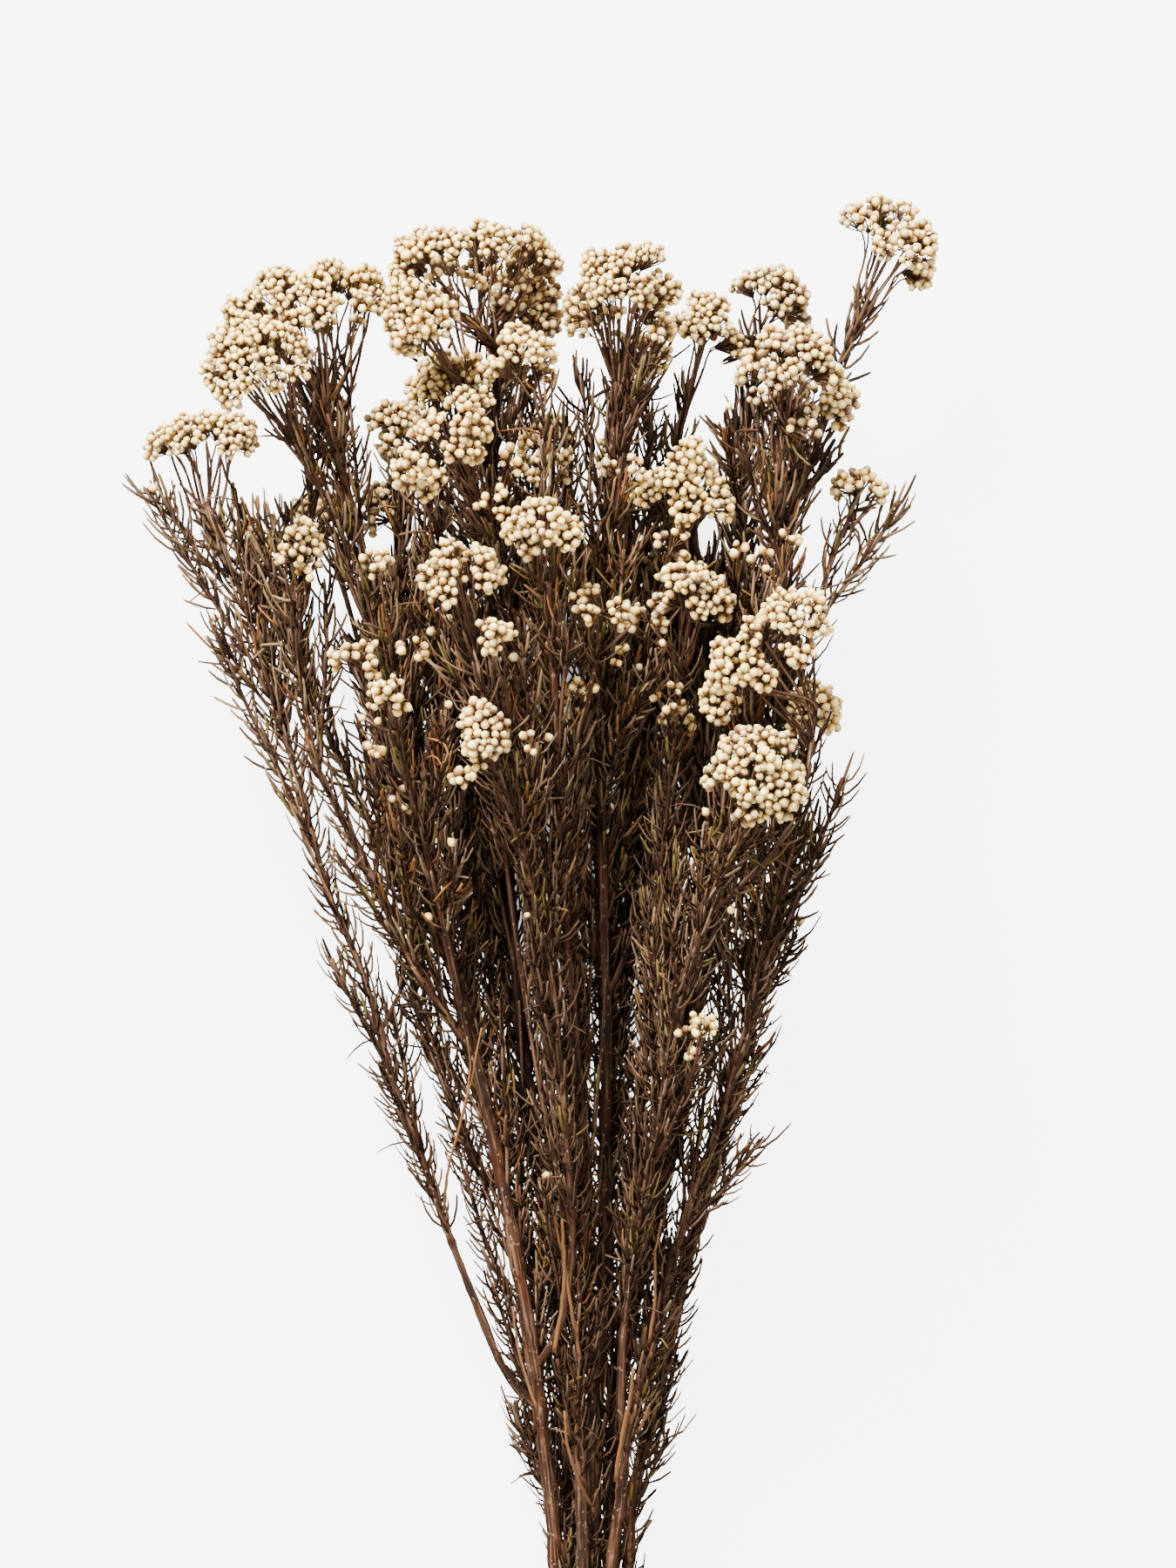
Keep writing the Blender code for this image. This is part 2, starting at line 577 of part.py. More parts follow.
def choose_leaves(rings, points, i, turn, number, room):
    """Two leaves for one ring, as the tip of each by the face that it grows from, where there is room for them."""
    sides = len(rings[i])
    ahead = heading(points, i)
    first = round(turn / (math.tau / sides))
    leaves = {}
    for step in (0, sides // 2, 1, -1):
        k = (first + step) % sides
        foot = (rings[i][k] + rings[i][(k + 1) % sides]) / 2
        out = (foot - points[i]).normalized()
        way = ahead * math.cos(LEAF_SPREAD) + out * math.sin(LEAF_SPREAD)
        spots = leaf_spots(foot, way)
        if k in leaves or any(p.z < LEAF_CLEAR or not room.free(p, LEAF_CLEAR, number) for p in spots):
            continue
        leaves[k] = foot + way * LEAF_LENGTH
        for spot in spots:
            room.add(spot, LEAF_WIDTH / 3, number)
        if len(leaves) == LEAVES_A_RING:
            break
    return leaves


def leaf_spots(foot, way):
    count = 7
    return [foot + way * (0.15 + 0.85 * n / count) * LEAF_LENGTH for n in range(count + 1)]


def raise_leaf(mesh, low, high, tip):
    """A three-sided leaf out of the foot of one face of a stem, and what is left of the face round it."""
    foot = (low[0].co + low[1].co) / 2
    up = ((high[0].co + high[1].co) / 2 - foot).normalized()
    heel = mesh.verts.new(foot + up * LEAF_WIDTH)
    point = mesh.verts.new(tip)
    for a, b in ((low[0], low[1]), (low[1], heel), (heel, low[0])):
        mesh.faces.new((a, b, point))
    for a, b in ((low[1], high[1]), (high[1], high[0]), (high[0], low[0])):
        mesh.faces.new((a, b, heel))


def ray_ends(head):
    """Where the rays of a head meet the plane just under its flat underside."""
    count = 4 if head.size.x > 17 * MM else 3 if head.size.x > 12 * MM else 1
    reach = RAY_SPREAD if count > 1 else 0.0
    plane = head.foot - head.along * GAP
    for k in range(count):
        turn = math.tau * (k + 0.3) / count
        yield (
            plane
            + head.wide * (reach * head.size.x * math.cos(turn))
            + head.deep * (reach * head.size.y * math.sin(turn))
        )


def ray_mesh(head, end, start):
    """A three-sided ray from the junction, cut off along the head's underside."""
    mesh = bmesh.new()
    ahead = (end - start).normalized()
    across = ahead.orthogonal().normalized()
    other = ahead.cross(across)
    low, high = [], []
    for k in range(3):
        turn = math.tau * k / 3
        offset = (across * math.cos(turn) + other * math.sin(turn)) * RAY_RADIUS
        low.append(mesh.verts.new(start - ahead * RAY_RADIUS + offset))
        slide = offset.dot(head.along) / ahead.dot(head.along)
        high.append(mesh.verts.new(end + offset - ahead * slide))
    for k in range(3):
        mesh.faces.new((low[k], low[(k + 1) % 3], high[(k + 1) % 3], high[k]))
    mesh.faces.new(low[::-1])
    mesh.faces.new(high)
    return mesh


def head_buds(head, draw):
    """The buds' places over the dome of a head, in its own axes, with the way out at each."""
    height = max(head.size.z - 2 * BUD_RISE, 0.3 * head.size.z)
    half = Vector((head.size.x - BUD_RISE, head.size.y - BUD_RISE, height))
    arc = math.pi / 2 * math.hypot((half.x + half.y) / 2, half.z) / math.sqrt(2)
    rings = max(1, round(arc / BUD_PITCH))
    buds = []
    for ring in range(rings + 1):
        polar = math.pi / 2 * ring / rings
        around = math.tau * math.sin(polar) * math.hypot(half.x, half.y) / math.sqrt(2)
        count = 1 if ring == 0 else max(4, round(around / BUD_PITCH))
        first = draw.uniform(0, math.tau)
        for k in range(count):
            turn = first + math.tau * (k + draw.uniform(-0.12, 0.12)) / count
            tilt = polar + (draw.uniform(-0.1, 0.04) / rings if ring else 0.0)
            out = Vector((math.sin(tilt) * math.cos(turn), math.sin(tilt) * math.sin(turn), math.cos(tilt)))
            place = Vector((half.x * out.x, half.y * out.y, half.z * out.z + BUD_RISE))
            normal = Vector((out.x / half.x, out.y / half.y, out.z / half.z)).normalized()
            buds.append((place, normal))
    return buds


def dome_faces(places):
    """The triangles of the smallest closed skin round the places, as lists of their numbers."""
    skin = bmesh.new()
    numbers = {skin.verts.new(place): i for i, place in enumerate(places)}
    bmesh.ops.convex_hull(skin, input=list(skin.verts))
    faces = [[numbers[v] for v in face.verts] for face in skin.faces]
    skin.free()
    return faces


def head_mesh(head, draw):
    """A dome of buds in the head's own axes. Each bud is a facet raised from the dome, with a furrow round it."""
    buds = head_buds(head, draw)
    under = len(buds)
    centre = Vector((0, 0, BUD_RISE))
    places = [place for place, _ in buds] + [Vector((0, 0, -head.size.z))]
    mesh = bmesh.new()
    around = {i: [] for i in range(len(places))}
    for face in dome_faces(places):
        tops = [i for i in face if i != under]
        middle = sum((places[i] for i in tops), Vector((0, 0, 0))) / len(tops)
        if under in face:
            furrow = Vector((middle.x * 0.84, middle.y * 0.84, 0))
        else:
            furrow = centre + (middle - centre) * 0.86
        vertex = mesh.verts.new(furrow)
        for i in face:
            around[i].append(vertex)
    for i, (place, normal) in enumerate(buds):
        raise_bud(mesh, place, normal, around[i])
    floor = sorted(around[under], key=lambda v: math.atan2(v.co.y, v.co.x))
    mesh.faces.new(floor[::-1])
    bmesh.ops.recalc_face_normals(mesh, faces=list(mesh.faces))
    return mesh


def raise_bud(mesh, place, normal, furrows):
    """One bud: a three-cornered top over the ring of furrow points round its place."""
    across = normal.orthogonal().normalized()
    other = normal.cross(across)

    def turn_of(vertex):
        offset = vertex.co - place
        return math.atan2(offset.dot(other), offset.dot(across))

    ring = sorted(furrows, key=turn_of)
    count = len(ring)
    crests = [round(k * count / 3) % count for k in range(3)]
    tops = []
    for at in crests:
        turn = turn_of(ring[at])
        aside = (across * math.cos(turn) + other * math.sin(turn)) * BUD_TOP
        tops.append(mesh.verts.new(place + normal * BUD_RISE + aside))
    for k in range(count):
        here = crest_of(k, crests, count)
        after = crest_of((k + 1) % count, crests, count)
        mesh.faces.new((ring[k], ring[(k + 1) % count], tops[here]))
        if after != here:
            mesh.faces.new((tops[here], ring[(k + 1) % count], tops[after]))
    mesh.faces.new(tops)


def crest_of(k, crests, count):
    """Which of the three top corners a furrow point joins: the nearest round the ring."""

    def steps(m):
        away = abs(k - crests[m])
        return min(away, count - away)

    return min(range(3), key=steps)


def cut_at_table(mesh, place=Matrix()):
    """Flattens what would reach below the table, for a mesh that stands at a place."""
    if min((place @ v.co).z for v in mesh.verts) >= 0:
        return
    back = place.inverted()
    point, way = back.translation, back.to_3x3() @ Vector((0, 0, 1))
    everything = [*mesh.verts, *mesh.edges, *mesh.faces]
    bmesh.ops.bisect_plane(mesh, geom=everything, plane_co=point, plane_no=way, clear_inner=True)
    rim = [edge for edge in mesh.edges if len(edge.link_faces) == 1]
    bmesh.ops.holes_fill(mesh, edges=rim, sides=0)
    bmesh.ops.recalc_face_normals(mesh, faces=list(mesh.faces))


def resting_twig(limb, support, row):
    """A three-sided twig out of a limb, whose tip stops just short of a corner of another limb."""
    at = point_at_row(limb, row)
    start, ahead = limb.points[at], heading(limb.points, at)
    places, radii, _ = thinned(support)
    corners = [corner for ring in rings_round(places, radii, support.sides) for corner in ring]
    corner = min(corners, key=lambda c: (c - start - ahead * TWIG_RISE).length)
    way = (corner - start).normalized()
    mesh = bmesh.new()
    foot = [mesh.verts.new(place) for place in rings_round([start, corner], [LEAF_WIDTH / 2] * 2, 3)[0]]
    tip = mesh.verts.new(corner - way * GAP)
    for k in range(3):
        mesh.faces.new((foot[k], foot[(k + 1) % 3], tip))
    mesh.faces.new(foot[::-1])
    return mesh


def new_object(name, mesh, look):
    data = bpy.data.meshes.new(name)
    mesh.to_mesh(data)
    mesh.free()
    data.materials.append(look)
    made = bpy.data.objects.new(name, data)
    bpy.context.scene.collection.objects.link(made)
    return made


def fuse(base, repeats, name, look):
    """One solid from the base mesh and all the repeats."""
    trunk = new_object(name, base, look)
    helpers = bpy.data.collections.new(name + " repeats")
    bpy.context.scene.collection.children.link(helpers)
    for mesh in repeats:
        made = new_object("repeat", mesh, look)
        bpy.context.scene.collection.objects.unlink(made)
        helpers.objects.link(made)
    join = trunk.modifiers.new("join", "BOOLEAN")
    join.operation = "UNION"
    join.operand_type = "COLLECTION"
    join.collection = helpers
    join.solver = "MANIFOLD"
    evaluated = trunk.evaluated_get(bpy.context.evaluated_depsgraph_get())
    whole = bmesh.new()
    whole.from_mesh(evaluated.to_mesh())
    trunk.modifiers.clear()
    for made in list(helpers.objects):
        bpy.data.objects.remove(made)
    bpy.data.collections.remove(helpers)
    keep_largest(whole)
    cut_at_table(whole)
    whole.to_mesh(trunk.data)
    whole.free()
    return trunk


def keep_largest(mesh):
    """Drops loose scraps and sealed hollows, which are bodies of their own."""
    left, bodies = set(mesh.verts), []
    while left:
        body, edge = set(), [left.pop()]
        while edge:
            vertex = edge.pop()
            body.add(vertex)
            for link in vertex.link_edges:
                other = link.other_vert(vertex)
                if other in left:
                    left.discard(other)
                    edge.append(other)
        bodies.append(body)
    bodies.sort(key=len)
    for body in bodies[:-1]:
        bmesh.ops.delete(mesh, geom=list(body), context="VERTS")


def new_look(name):
    colour, roughness = LOOKS[name]
    look = bpy.data.materials.new(name)
    look.use_nodes = True
    surface = look.node_tree.nodes["Principled BSDF"]
    surface.inputs["Base Color"].default_value = (*colour, 1)
    surface.inputs["Roughness"].default_value = roughness
    surface.inputs["Metallic"].default_value = 0
    look.diffuse_color = (*colour, 1)
    return look


def fill_room(lines, heads):
    """A room with the lines, the rays and the flower heads in it."""
    room = Room()
    for number, line in enumerate(lines):
        for i, point in enumerate(line.points):
            room.add(point, line.radii[i], number)
            if i:
                room.add(point.lerp(line.points[i - 1], 0.5), line.radii[i], number)
        if line.head is not None:
            add_rays(room, heads[line.head], line)
    draw = random.Random(3)
    for number, head in enumerate(heads):
        add_head(room, head, ("head", number), draw)
    return room


def add_rays(room, head, line):
    for n, end in enumerate(ray_ends(head)):
        start = line.points[-1 - n]
        count = max(2, round((end - start).length / STEP))
        for k in range(count):
            room.add(start.lerp(end, k / count), RAY_RADIUS, rays_of(line))


def add_head(room, head, owner, draw):
    """Fills a flower head's dome with balls."""
    ball = 2.6 * MM
    half_x, half_y = head.size.x - 0.5 * ball, head.size.y - 0.5 * ball
    for _ in range(round(40 + head.size.x * head.size.y / (2 * MM) ** 2)):
        x, y = draw.uniform(-1, 1), draw.uniform(-1, 1)
        if x * x + y * y < 1:
            top = (1 - x * x - y * y) ** 0.5
            place = head.foot + head.wide * x * half_x + head.deep * y * half_y
            for level in (0.12, 0.5, 0.95):
                room.add(place + head.along * (top * level * (head.size.z - ball) + 0.6 * ball), ball, owner)


def build_stem(stem, limbs, lines, heads, room, look):
    """One solid of a main stem with all that grows from it."""
    draw = random.Random(5)
    meshes = []
    for number, line in enumerate(lines):
        if line.stem == stem:
            meshes.append(leafy_mesh(line, number, room, draw))
            if line.head is not None:
                head = heads[line.head]
                meshes += [ray_mesh(head, end, line.points[-1 - k]) for k, end in enumerate(ray_ends(head))]
    for name, support, row in RESTING_TWIGS:
        if limbs[name].stem == stem:
            meshes.append(resting_twig(limbs[name], limbs[support], row))
    return fuse(meshes[0], meshes[1:], "stem_" + stem, look)


def build_head(number, head, draw, look):
    place = Matrix((head.wide, head.deep, head.along)).transposed().to_4x4()
    place.translation = head.foot
    mesh = head_mesh(head, draw)
    cut_at_table(mesh, place)
    new_object(f"flower_head_{number:02d}", mesh, look).matrix_world = place


def main():
    for old in list(bpy.data.objects):
        bpy.data.objects.remove(old)
    bark, cream = new_look("bark and leaves"), new_look("buds")
    heads = place_heads()
    limbs = grow_limbs()
    lines = [*limbs.values(), *grow_branches(limbs, heads), *grow_shoots(limbs)]
    bend_clear(lines, heads)
    room = fill_room(lines, heads)
    for stem in dict.fromkeys(line.stem for line in lines):
        build_stem(stem, limbs, lines, heads, room, bark)
    draw = random.Random(11)
    for number, head in enumerate(heads, 1):
        build_head(number, head, draw, cream)


main()
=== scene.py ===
"""The looks of a bunch of dried rice flower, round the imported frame.

The bunch's lines and flower heads are worked out as in the part's own source, so that each piece lies where
its solid does. Metres, +Z up.
"""

import json
import math
import random
from dataclasses import dataclass, field
from itertools import product

import bpy
import numpy as np
from mathutils import Matrix, Vector

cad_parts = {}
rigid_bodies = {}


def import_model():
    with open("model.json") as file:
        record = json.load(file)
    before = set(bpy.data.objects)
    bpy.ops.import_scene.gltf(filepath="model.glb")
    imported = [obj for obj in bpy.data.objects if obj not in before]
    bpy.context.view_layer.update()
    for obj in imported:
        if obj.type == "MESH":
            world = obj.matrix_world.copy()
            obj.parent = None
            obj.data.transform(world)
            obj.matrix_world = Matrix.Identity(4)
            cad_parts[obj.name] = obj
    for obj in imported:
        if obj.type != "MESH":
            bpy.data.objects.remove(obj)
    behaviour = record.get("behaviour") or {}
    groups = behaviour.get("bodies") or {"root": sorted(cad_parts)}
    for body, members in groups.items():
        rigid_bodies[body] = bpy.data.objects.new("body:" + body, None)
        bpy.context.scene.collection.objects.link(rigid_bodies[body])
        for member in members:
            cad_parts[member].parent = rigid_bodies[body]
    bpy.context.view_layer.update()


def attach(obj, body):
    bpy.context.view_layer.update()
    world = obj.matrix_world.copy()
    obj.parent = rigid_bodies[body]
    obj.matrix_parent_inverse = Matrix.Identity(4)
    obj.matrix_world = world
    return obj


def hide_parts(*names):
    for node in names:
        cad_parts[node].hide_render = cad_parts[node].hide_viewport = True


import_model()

MM = 0.001

# Driving dimensions
PIXEL = 0.30 * MM  # real width of one picture element at the bunch's middle height
GAP = 0.3 * MM  # air between a flower head and the rays that carry it

# The picture that the places were read from: its size, and how it was taken
PICTURE = (1350, 1800)
VIEW_DISTANCE = 1600 * MM
MIDDLE_HEIGHT = 60 * MM
MIDDLE = (PICTURE[0] / 2, PICTURE[1] / 2)
BUNCH_MIDDLE = (625.4, 1126.0)  # picture point that lies over the origin
# How far the bunch's middle is from the picture's, to the left and down
ASIDE = ((BUNCH_MIDDLE[0] - MIDDLE[0]) * PIXEL, (MIDDLE[1] - BUNCH_MIDDLE[1]) * PIXEL)

# Shape of the leafy lines
STEP = 3 * MM  # between the points of a middle line
GOLDEN = math.radians(137.5)  # turn from one leaf or shoot to the next round its stem
BRANCH_RADII = (1.3 * MM, 0.9 * MM)
BRANCH_SLOPE = math.tan(math.radians(16))  # how fast a branch gains distance from its limb
BRANCH_LENGTHS = (48 * MM, 170 * MM)
SHOOT_RADII = (0.95 * MM, 0.75 * MM)
RAY_RADIUS = 0.7 * MM
RAY_LENGTHS = (8 * MM, 24 * MM)
RAY_SPREAD = 0.56  # how far out the rays meet a head, as a share of its half width

# How the lines are moved apart
BENDS = 40  # rounds
CLEAR = 1.3 * MM  # wished for air between two lines
HEAD_CLEAR = 3 * MM  # wished for air between a line and another line's flower head
HEAD_PUSH = 8 * MM  # on a line through the middle of a head
LIFT = 1.6  # how much more readily lines part in height than sideways
LARGEST_BEND = 0.8 * MM  # in one round
EVENED = 4  # points each way that a bend is evened out over
HELD_TIP = 5  # points at a tip that its flower head holds
HELD_FOOT = 5  # points at a foot that its limb holds
HELD_CUT = 20  # points at a stem's cut end that are held
DRAWN = 10  # points that a foot draws along to its limb
MOVED = 1.8  # the share of the evened-out move that is made
FORK_REACH = 24 * MM  # how far beyond a fork the two lines may still be close

# Each limb: stem, parent limb, radii in mm at foot and tip, the picture row above which it is leafy, and its
# route as (column, row, height above the table in mm)
LIMBS = {
    "a": ("left", None, (3.3, 1.5), 1260, [
        (645, 1962, 12), (642, 1870, 14), (637, 1770, 17), (630, 1700, 21), (620, 1616, 27), (607, 1528, 32),
        (589, 1423, 37), (568, 1310, 42), (545, 1215, 47), (527, 1141, 51), (505, 1050, 56), (485, 958, 62),
        (468, 874, 68), (450, 780, 74), (432, 690, 78), (408, 600, 80), (390, 535, 82), (376, 478, 82)]),
    "a_outer": ("left", "a", (1.9, 1.0), 1330, [
        (620, 1616, 27), (598, 1598, 28), (575, 1565, 31), (548, 1500, 35), (524, 1440, 38), (505, 1388, 40),
        (474, 1300, 44), (452, 1242, 46), (432, 1169, 48), (418, 1122, 50), (398, 1073, 52), (383, 1040, 53),
        (362, 972, 55), (345, 905, 57), (325, 840, 58), (303, 770, 59), (282, 700, 60), (262, 640, 61),
        (246, 592, 62)]),
    "a_inner": ("left", "a", (1.9, 1.1), 1190, [
        (545, 1215, 47), (510, 1163, 56), (482, 1118, 60), (460, 1079, 62), (440, 1034, 64), (421, 995, 66),
        (401, 955, 68), (381, 916, 70), (362, 872, 72), (350, 810, 76), (344, 750, 80), (343, 690, 84)]),
    "a_front": ("left", "a", (1.9, 1.2), 1480, [
        (613, 1570, 29), (630, 1548, 36), (646, 1515, 42), (655, 1470, 48), (657, 1405, 56), (652, 1320, 66),
        (643, 1220, 76), (628, 1120, 86), (610, 1020, 96), (592, 940, 106), (574, 890, 114)]),
    "c": ("centre", None, (4.0, 1.5), 1180, [
        (684, 1985, 10), (683, 1880, 11), (682, 1791, 12), (681, 1703, 15), (681, 1633, 18), (691, 1510, 24),
        (695, 1405, 30), (696, 1300, 36), (696, 1200, 42), (694, 1100, 48), (692, 1000, 55), (690, 900, 62),
        (689, 800, 70), (691, 700, 76), (697, 600, 82), (704, 500, 86), (708, 440, 88)]),
    "d": ("right", None, (2.6, 1.2), 1440, [
        (706, 1950, 20), (702, 1870, 20), (703, 1791, 21), (712, 1721, 24), (720, 1651, 28), (737, 1580, 32),
        (754, 1510, 37), (771, 1450, 42), (797, 1370, 48), (825, 1290, 55), (852, 1200, 62), (874, 1110, 70),
        (892, 1020, 78), (908, 940, 84), (920, 880, 88)]),
    "d_front": ("right", "d", (1.9, 1.2), 1520, [
        (720, 1651, 28), (713, 1610, 32), (716, 1528, 40), (728, 1440, 50), (745, 1350, 60), (765, 1250, 70),
        (785, 1150, 80), (808, 1060, 90), (832, 985, 99)]),
    "e": ("far_right", None, (2.7, 1.3), 1620, [
        (724, 1970, 8), (722, 1880, 9), (721, 1790, 11), (726, 1721, 13), (740, 1660, 16), (756, 1598, 20),
        (772, 1528, 24), (786, 1465, 28), (807, 1380, 32), (834, 1285, 38), (860, 1180, 44), (883, 1080, 50),
        (899, 980, 56), (905, 880, 62), (904, 780, 68), (898, 690, 74), (893, 600, 78), (893, 520, 80),
        (898, 462, 82)]),
    "e_outer": ("far_right", "e", (1.4, 0.9), 1200, [
        (905, 880, 62), (916, 800, 62), (930, 730, 62), (946, 670, 63), (966, 615, 64), (980, 585, 64)]),
    "f": ("back_left", None, (2.9, 1.4), 1560, [
        (662, 1990, 2.1), (658, 1890, 3.0), (655, 1790, 5), (652, 1700, 8), (648, 1600, 11), (638, 1500, 15),
        (625, 1390, 20), (610, 1270, 26), (596, 1150, 32), (585, 1020, 38), (576, 890, 46), (568, 760, 54),
        (564, 640, 62), (562, 540, 70), (560, 460, 76), (558, 405, 80)]),
    "g": ("back_right", None, (2.9, 1.3), 1560, [
        (704, 1972, 2.1), (702, 1880, 3.0), (700, 1790, 5), (699, 1720, 7), (703, 1650, 9), (717, 1560, 12),
        (738, 1450, 16), (762, 1330, 22), (782, 1200, 28), (800, 1070, 34), (815, 940, 38), (828, 820, 42),
        (840, 700, 44), (850, 600, 46), (858, 500, 46), (866, 430, 46), (876, 382, 46)]),
    "g_outer": ("back_right", "g", (1.6, 1.1), 1200, [
        (828, 820, 42), (850, 740, 44), (878, 660, 46), (908, 590, 48), (935, 520, 50), (957, 455, 51),
        (975, 400, 54), (998, 345, 57)]),
    "h": ("front", None, (2.6, 1.3), 1600, [
        (671, 1955, 21), (670, 1870, 22), (668, 1790, 24), (666, 1700, 27), (664, 1600, 31), (668, 1500, 36),
        (672, 1400, 43), (668, 1280, 53), (658, 1160, 64), (648, 1040, 76), (642, 920, 88), (637, 800, 100),
        (633, 720, 109), (629, 670, 114)]),
}

# Leafy shoots with no flower head that show on the outline: the limb, the picture row where each leaves it,
# and its tip as (column, row, height in mm)
SHOOTS = [
    ("a_outer", 790, (170, 560, 66)), ("a_outer", 985, (243, 716, 62)), ("a_outer", 1233, (381, 1100, 52)),
    ("a_outer", 1183, (486, 1062, 62)), ("a_outer", 1330, (449, 1160, 34)), ("a", 1300, (474, 1145, 36)),
    ("a_inner", 830, (312, 590, 70)), ("a_outer", 860, (280, 596, 44)), ("d", 1180, (941, 966, 66)),
    ("d", 1420, (872, 1308, 60)), ("e", 640, (834, 470, 92)), ("e_outer", 720, (1034, 575, 60)),
    ("h", 1300, (607, 1050, 98)), ("a", 1720, (594, 1622, 20)), ("e", 1330, (872, 1200, 40)),
    ("e", 1720, (765, 1560, 24)),
]
LIMB_SHOOTS = ["a", "a_inner", "a_front", "c", "d", "d_front", "e", "f", "g", "h"]
LIMB_SHOOT_SPACING = 80 * MM
LIMB_SHOOT_ROWS = (860, 1640)
SHOOT_LENGTHS = (52 * MM, 88 * MM)
SHOOT_REACH = 0.18  # how far from its limb a shoot ends, as a share of its length

# Each flower head: picture column and row of its middle, height of that above the table, width, depth and
# thickness in mm, lean to the right and turn towards the viewer in degrees, and the limb that bears it
HEADS = [
    (232, 490, 62, 42, 36, 15, -4, 8, "a_outer"), (345, 335, 82, 64, 46, 22, -12, 12, "a"),
    (290, 402, 116, 40, 30, 20, -25, 35, "a"), (548, 280, 84, 64, 44, 20, 0, 5, "f"),
    (474, 350, 112, 26, 24, 22, -35, 30, "f"), (612, 338, 56, 26, 24, 20, 25, -10, "f"),
    (716, 325, 94, 42, 38, 32, 2, 20, "c"), (816, 362, 66, 30, 26, 19, 15, 10, "c"),
    (742, 402, 60, 20, 18, 15, 5, 0, "c"), (510, 424, 84, 32, 26, 16, -10, 20, "f"),
    (444, 478, 68, 22, 22, 20, -30, 10, "f"), (505, 497, 122, 44, 28, 16, -40, 60, "a_front"),
    (474, 552, 100, 18, 16, 13, -30, 30, "a"), (604, 402, 106, 26, 22, 20, 12, 25, "f"),
    (630, 487, 72, 20, 18, 14, 10, 10, "f"), (594, 534, 82, 18, 16, 12, -15, 30, "f"),
    (625, 598, 128, 30, 24, 17, 10, 55, "h"), (528, 645, 120, 31, 24, 17, -10, 35, "a_front"),
    (348, 622, 90, 17, 18, 21, 20, 30, "a_inner"), (286, 610, 44, 16, 16, 12, -15, 5, "a_inner"),
    (432, 640, 98, 16, 16, 11, -10, 20, "a"), (438, 568, 54, 20, 20, 18, -20, 0, "a"),
    (788, 545, 84, 36, 28, 26, 12, 30, "c"), (706, 520, 62, 16, 18, 18, -5, 10, "c"),
    (900, 330, 48, 32, 26, 17, 35, 5, "g"), (908, 400, 94, 36, 32, 20, 0, 12, "e"),
    (972, 450, 64, 26, 24, 13, 72, 5, "e"), (1040, 268, 60, 42, 32, 19, 44, 10, "g_outer"),
    (990, 551, 64, 23, 20, 11, 10, 5, "e_outer"), (906, 617, 98, 13, 12, 10, 5, 30, "e"),
    (884, 728, 116, 52, 28, 16, -35, 60, "d"), (800, 672, 104, 31, 26, 20, 10, 40, "d_front"),
    (756, 642, 62, 14, 14, 12, 0, 20, "c"), (688, 692, 116, 20, 20, 13, 0, 60, "h"),
    (822, 796, 98, 19, 18, 13, -20, 40, "d_front"), (938, 804, 88, 23, 22, 17, 20, 25, "d"),
    (868, 872, 118, 36, 38, 22, 0, 45, "d_front"), (405, 750, 104, 20, 18, 14, -20, 25, "a"),
    (446, 788, 116, 17, 16, 12, -10, 45, "a"), (565, 722, 124, 17, 17, 13, 0, 55, "a_front"),
    (553, 832, 126, 19, 24, 14, -5, 65, "a_front"), (662, 802, 82, 15, 14, 12, 0, 30, "h"),
    (776, 814, 70, 14, 14, 13, 0, 20, "c"), (803, 1178, 92, 12, 12, 10, 0, 45, "d_front"),
    (366, 585, 40, 28, 24, 16, -20, -30, "a_inner"), (478, 660, 6.6, 32, 28, 16, -10, -60, "f"),
    (604, 590, 34, 30, 26, 16, 5, -35, "f"), (560, 790, 6.0, 28, 26, 14, 0, -60, "f"),
    (704, 640, 30, 30, 26, 17, 0, -40, "g"), (800, 662, 20, 28, 26, 15, 8, -50, "g"),
    (872, 745, 6.6, 34, 28, 16, 12, -60, "g"), (684, 872, 5.4, 24, 22, 13, 0, -60, "g"),
]

# Looks
TABLE_GAP = 0.05 * MM
LEAF_ROWS = (0 * MM, 130 * MM)  # where low down in the bunch ends and high up starts, along Y
LEAF_GAP = 1.08 * MM  # along a line, from one leaf to the next
RAY_LEAF_GAP = 3.2 * MM
LEAF_LENGTHS = (9.2 * MM, 11.6 * MM)  # low down and high up
LEAF_BREADTHS = (1.12 * MM, 1.18 * MM)  # likewise
LEAF_ANGLES = (62, 52)  # degrees off the leaf's line, likewise
LEAF_CURL = 0.64  # how far a leaf's tip bends along its line, as a share of its length
CURL_DROP = 0.22  # how much less that is high up
STRAY_LEAVES = 0.045  # the share of leaves that bend any way
STRAY_CURL = (-0.1, 0.45)  # their mean bend and its spread
LEAF_UPWARD = 0.2  # how much leaves lean up the bunch at most
# How far leaves differ in angle (degrees), length, bend, twist (radians) and breadth
ANGLE_SPREAD = 9
LENGTH_SPREAD = 0.17
CURL_SPREAD = 0.18
TWIST_SPREAD = 0.7
BREADTH_SPREAD = 0.12
LEAF_TONES = 0.80  # how far the tones of one line's leaves differ
LINE_TONES = (-0.12, 0.16)  # of a line, over the others
LEAF_KEEL = 1.35  # how deep a leaf is, as a share of its half width
LEAF_PAINTED_LIGHT = ((0 * MM, 70 * MM, 150 * MM, 200 * MM), (-0.04, 0.10, 0.10, -0.06))  # painted light: how much paler leaves are painted along Y, most in the dense middle that shades them
LEAF_THINNED = 0.15  # the share of leaves left out high up
UNDER_BREADTH = 0.7  # how much broader the leaves under the bunch are
UNDER_HEIGHTS = ((30 * MM, 60 * MM), (1, 0))
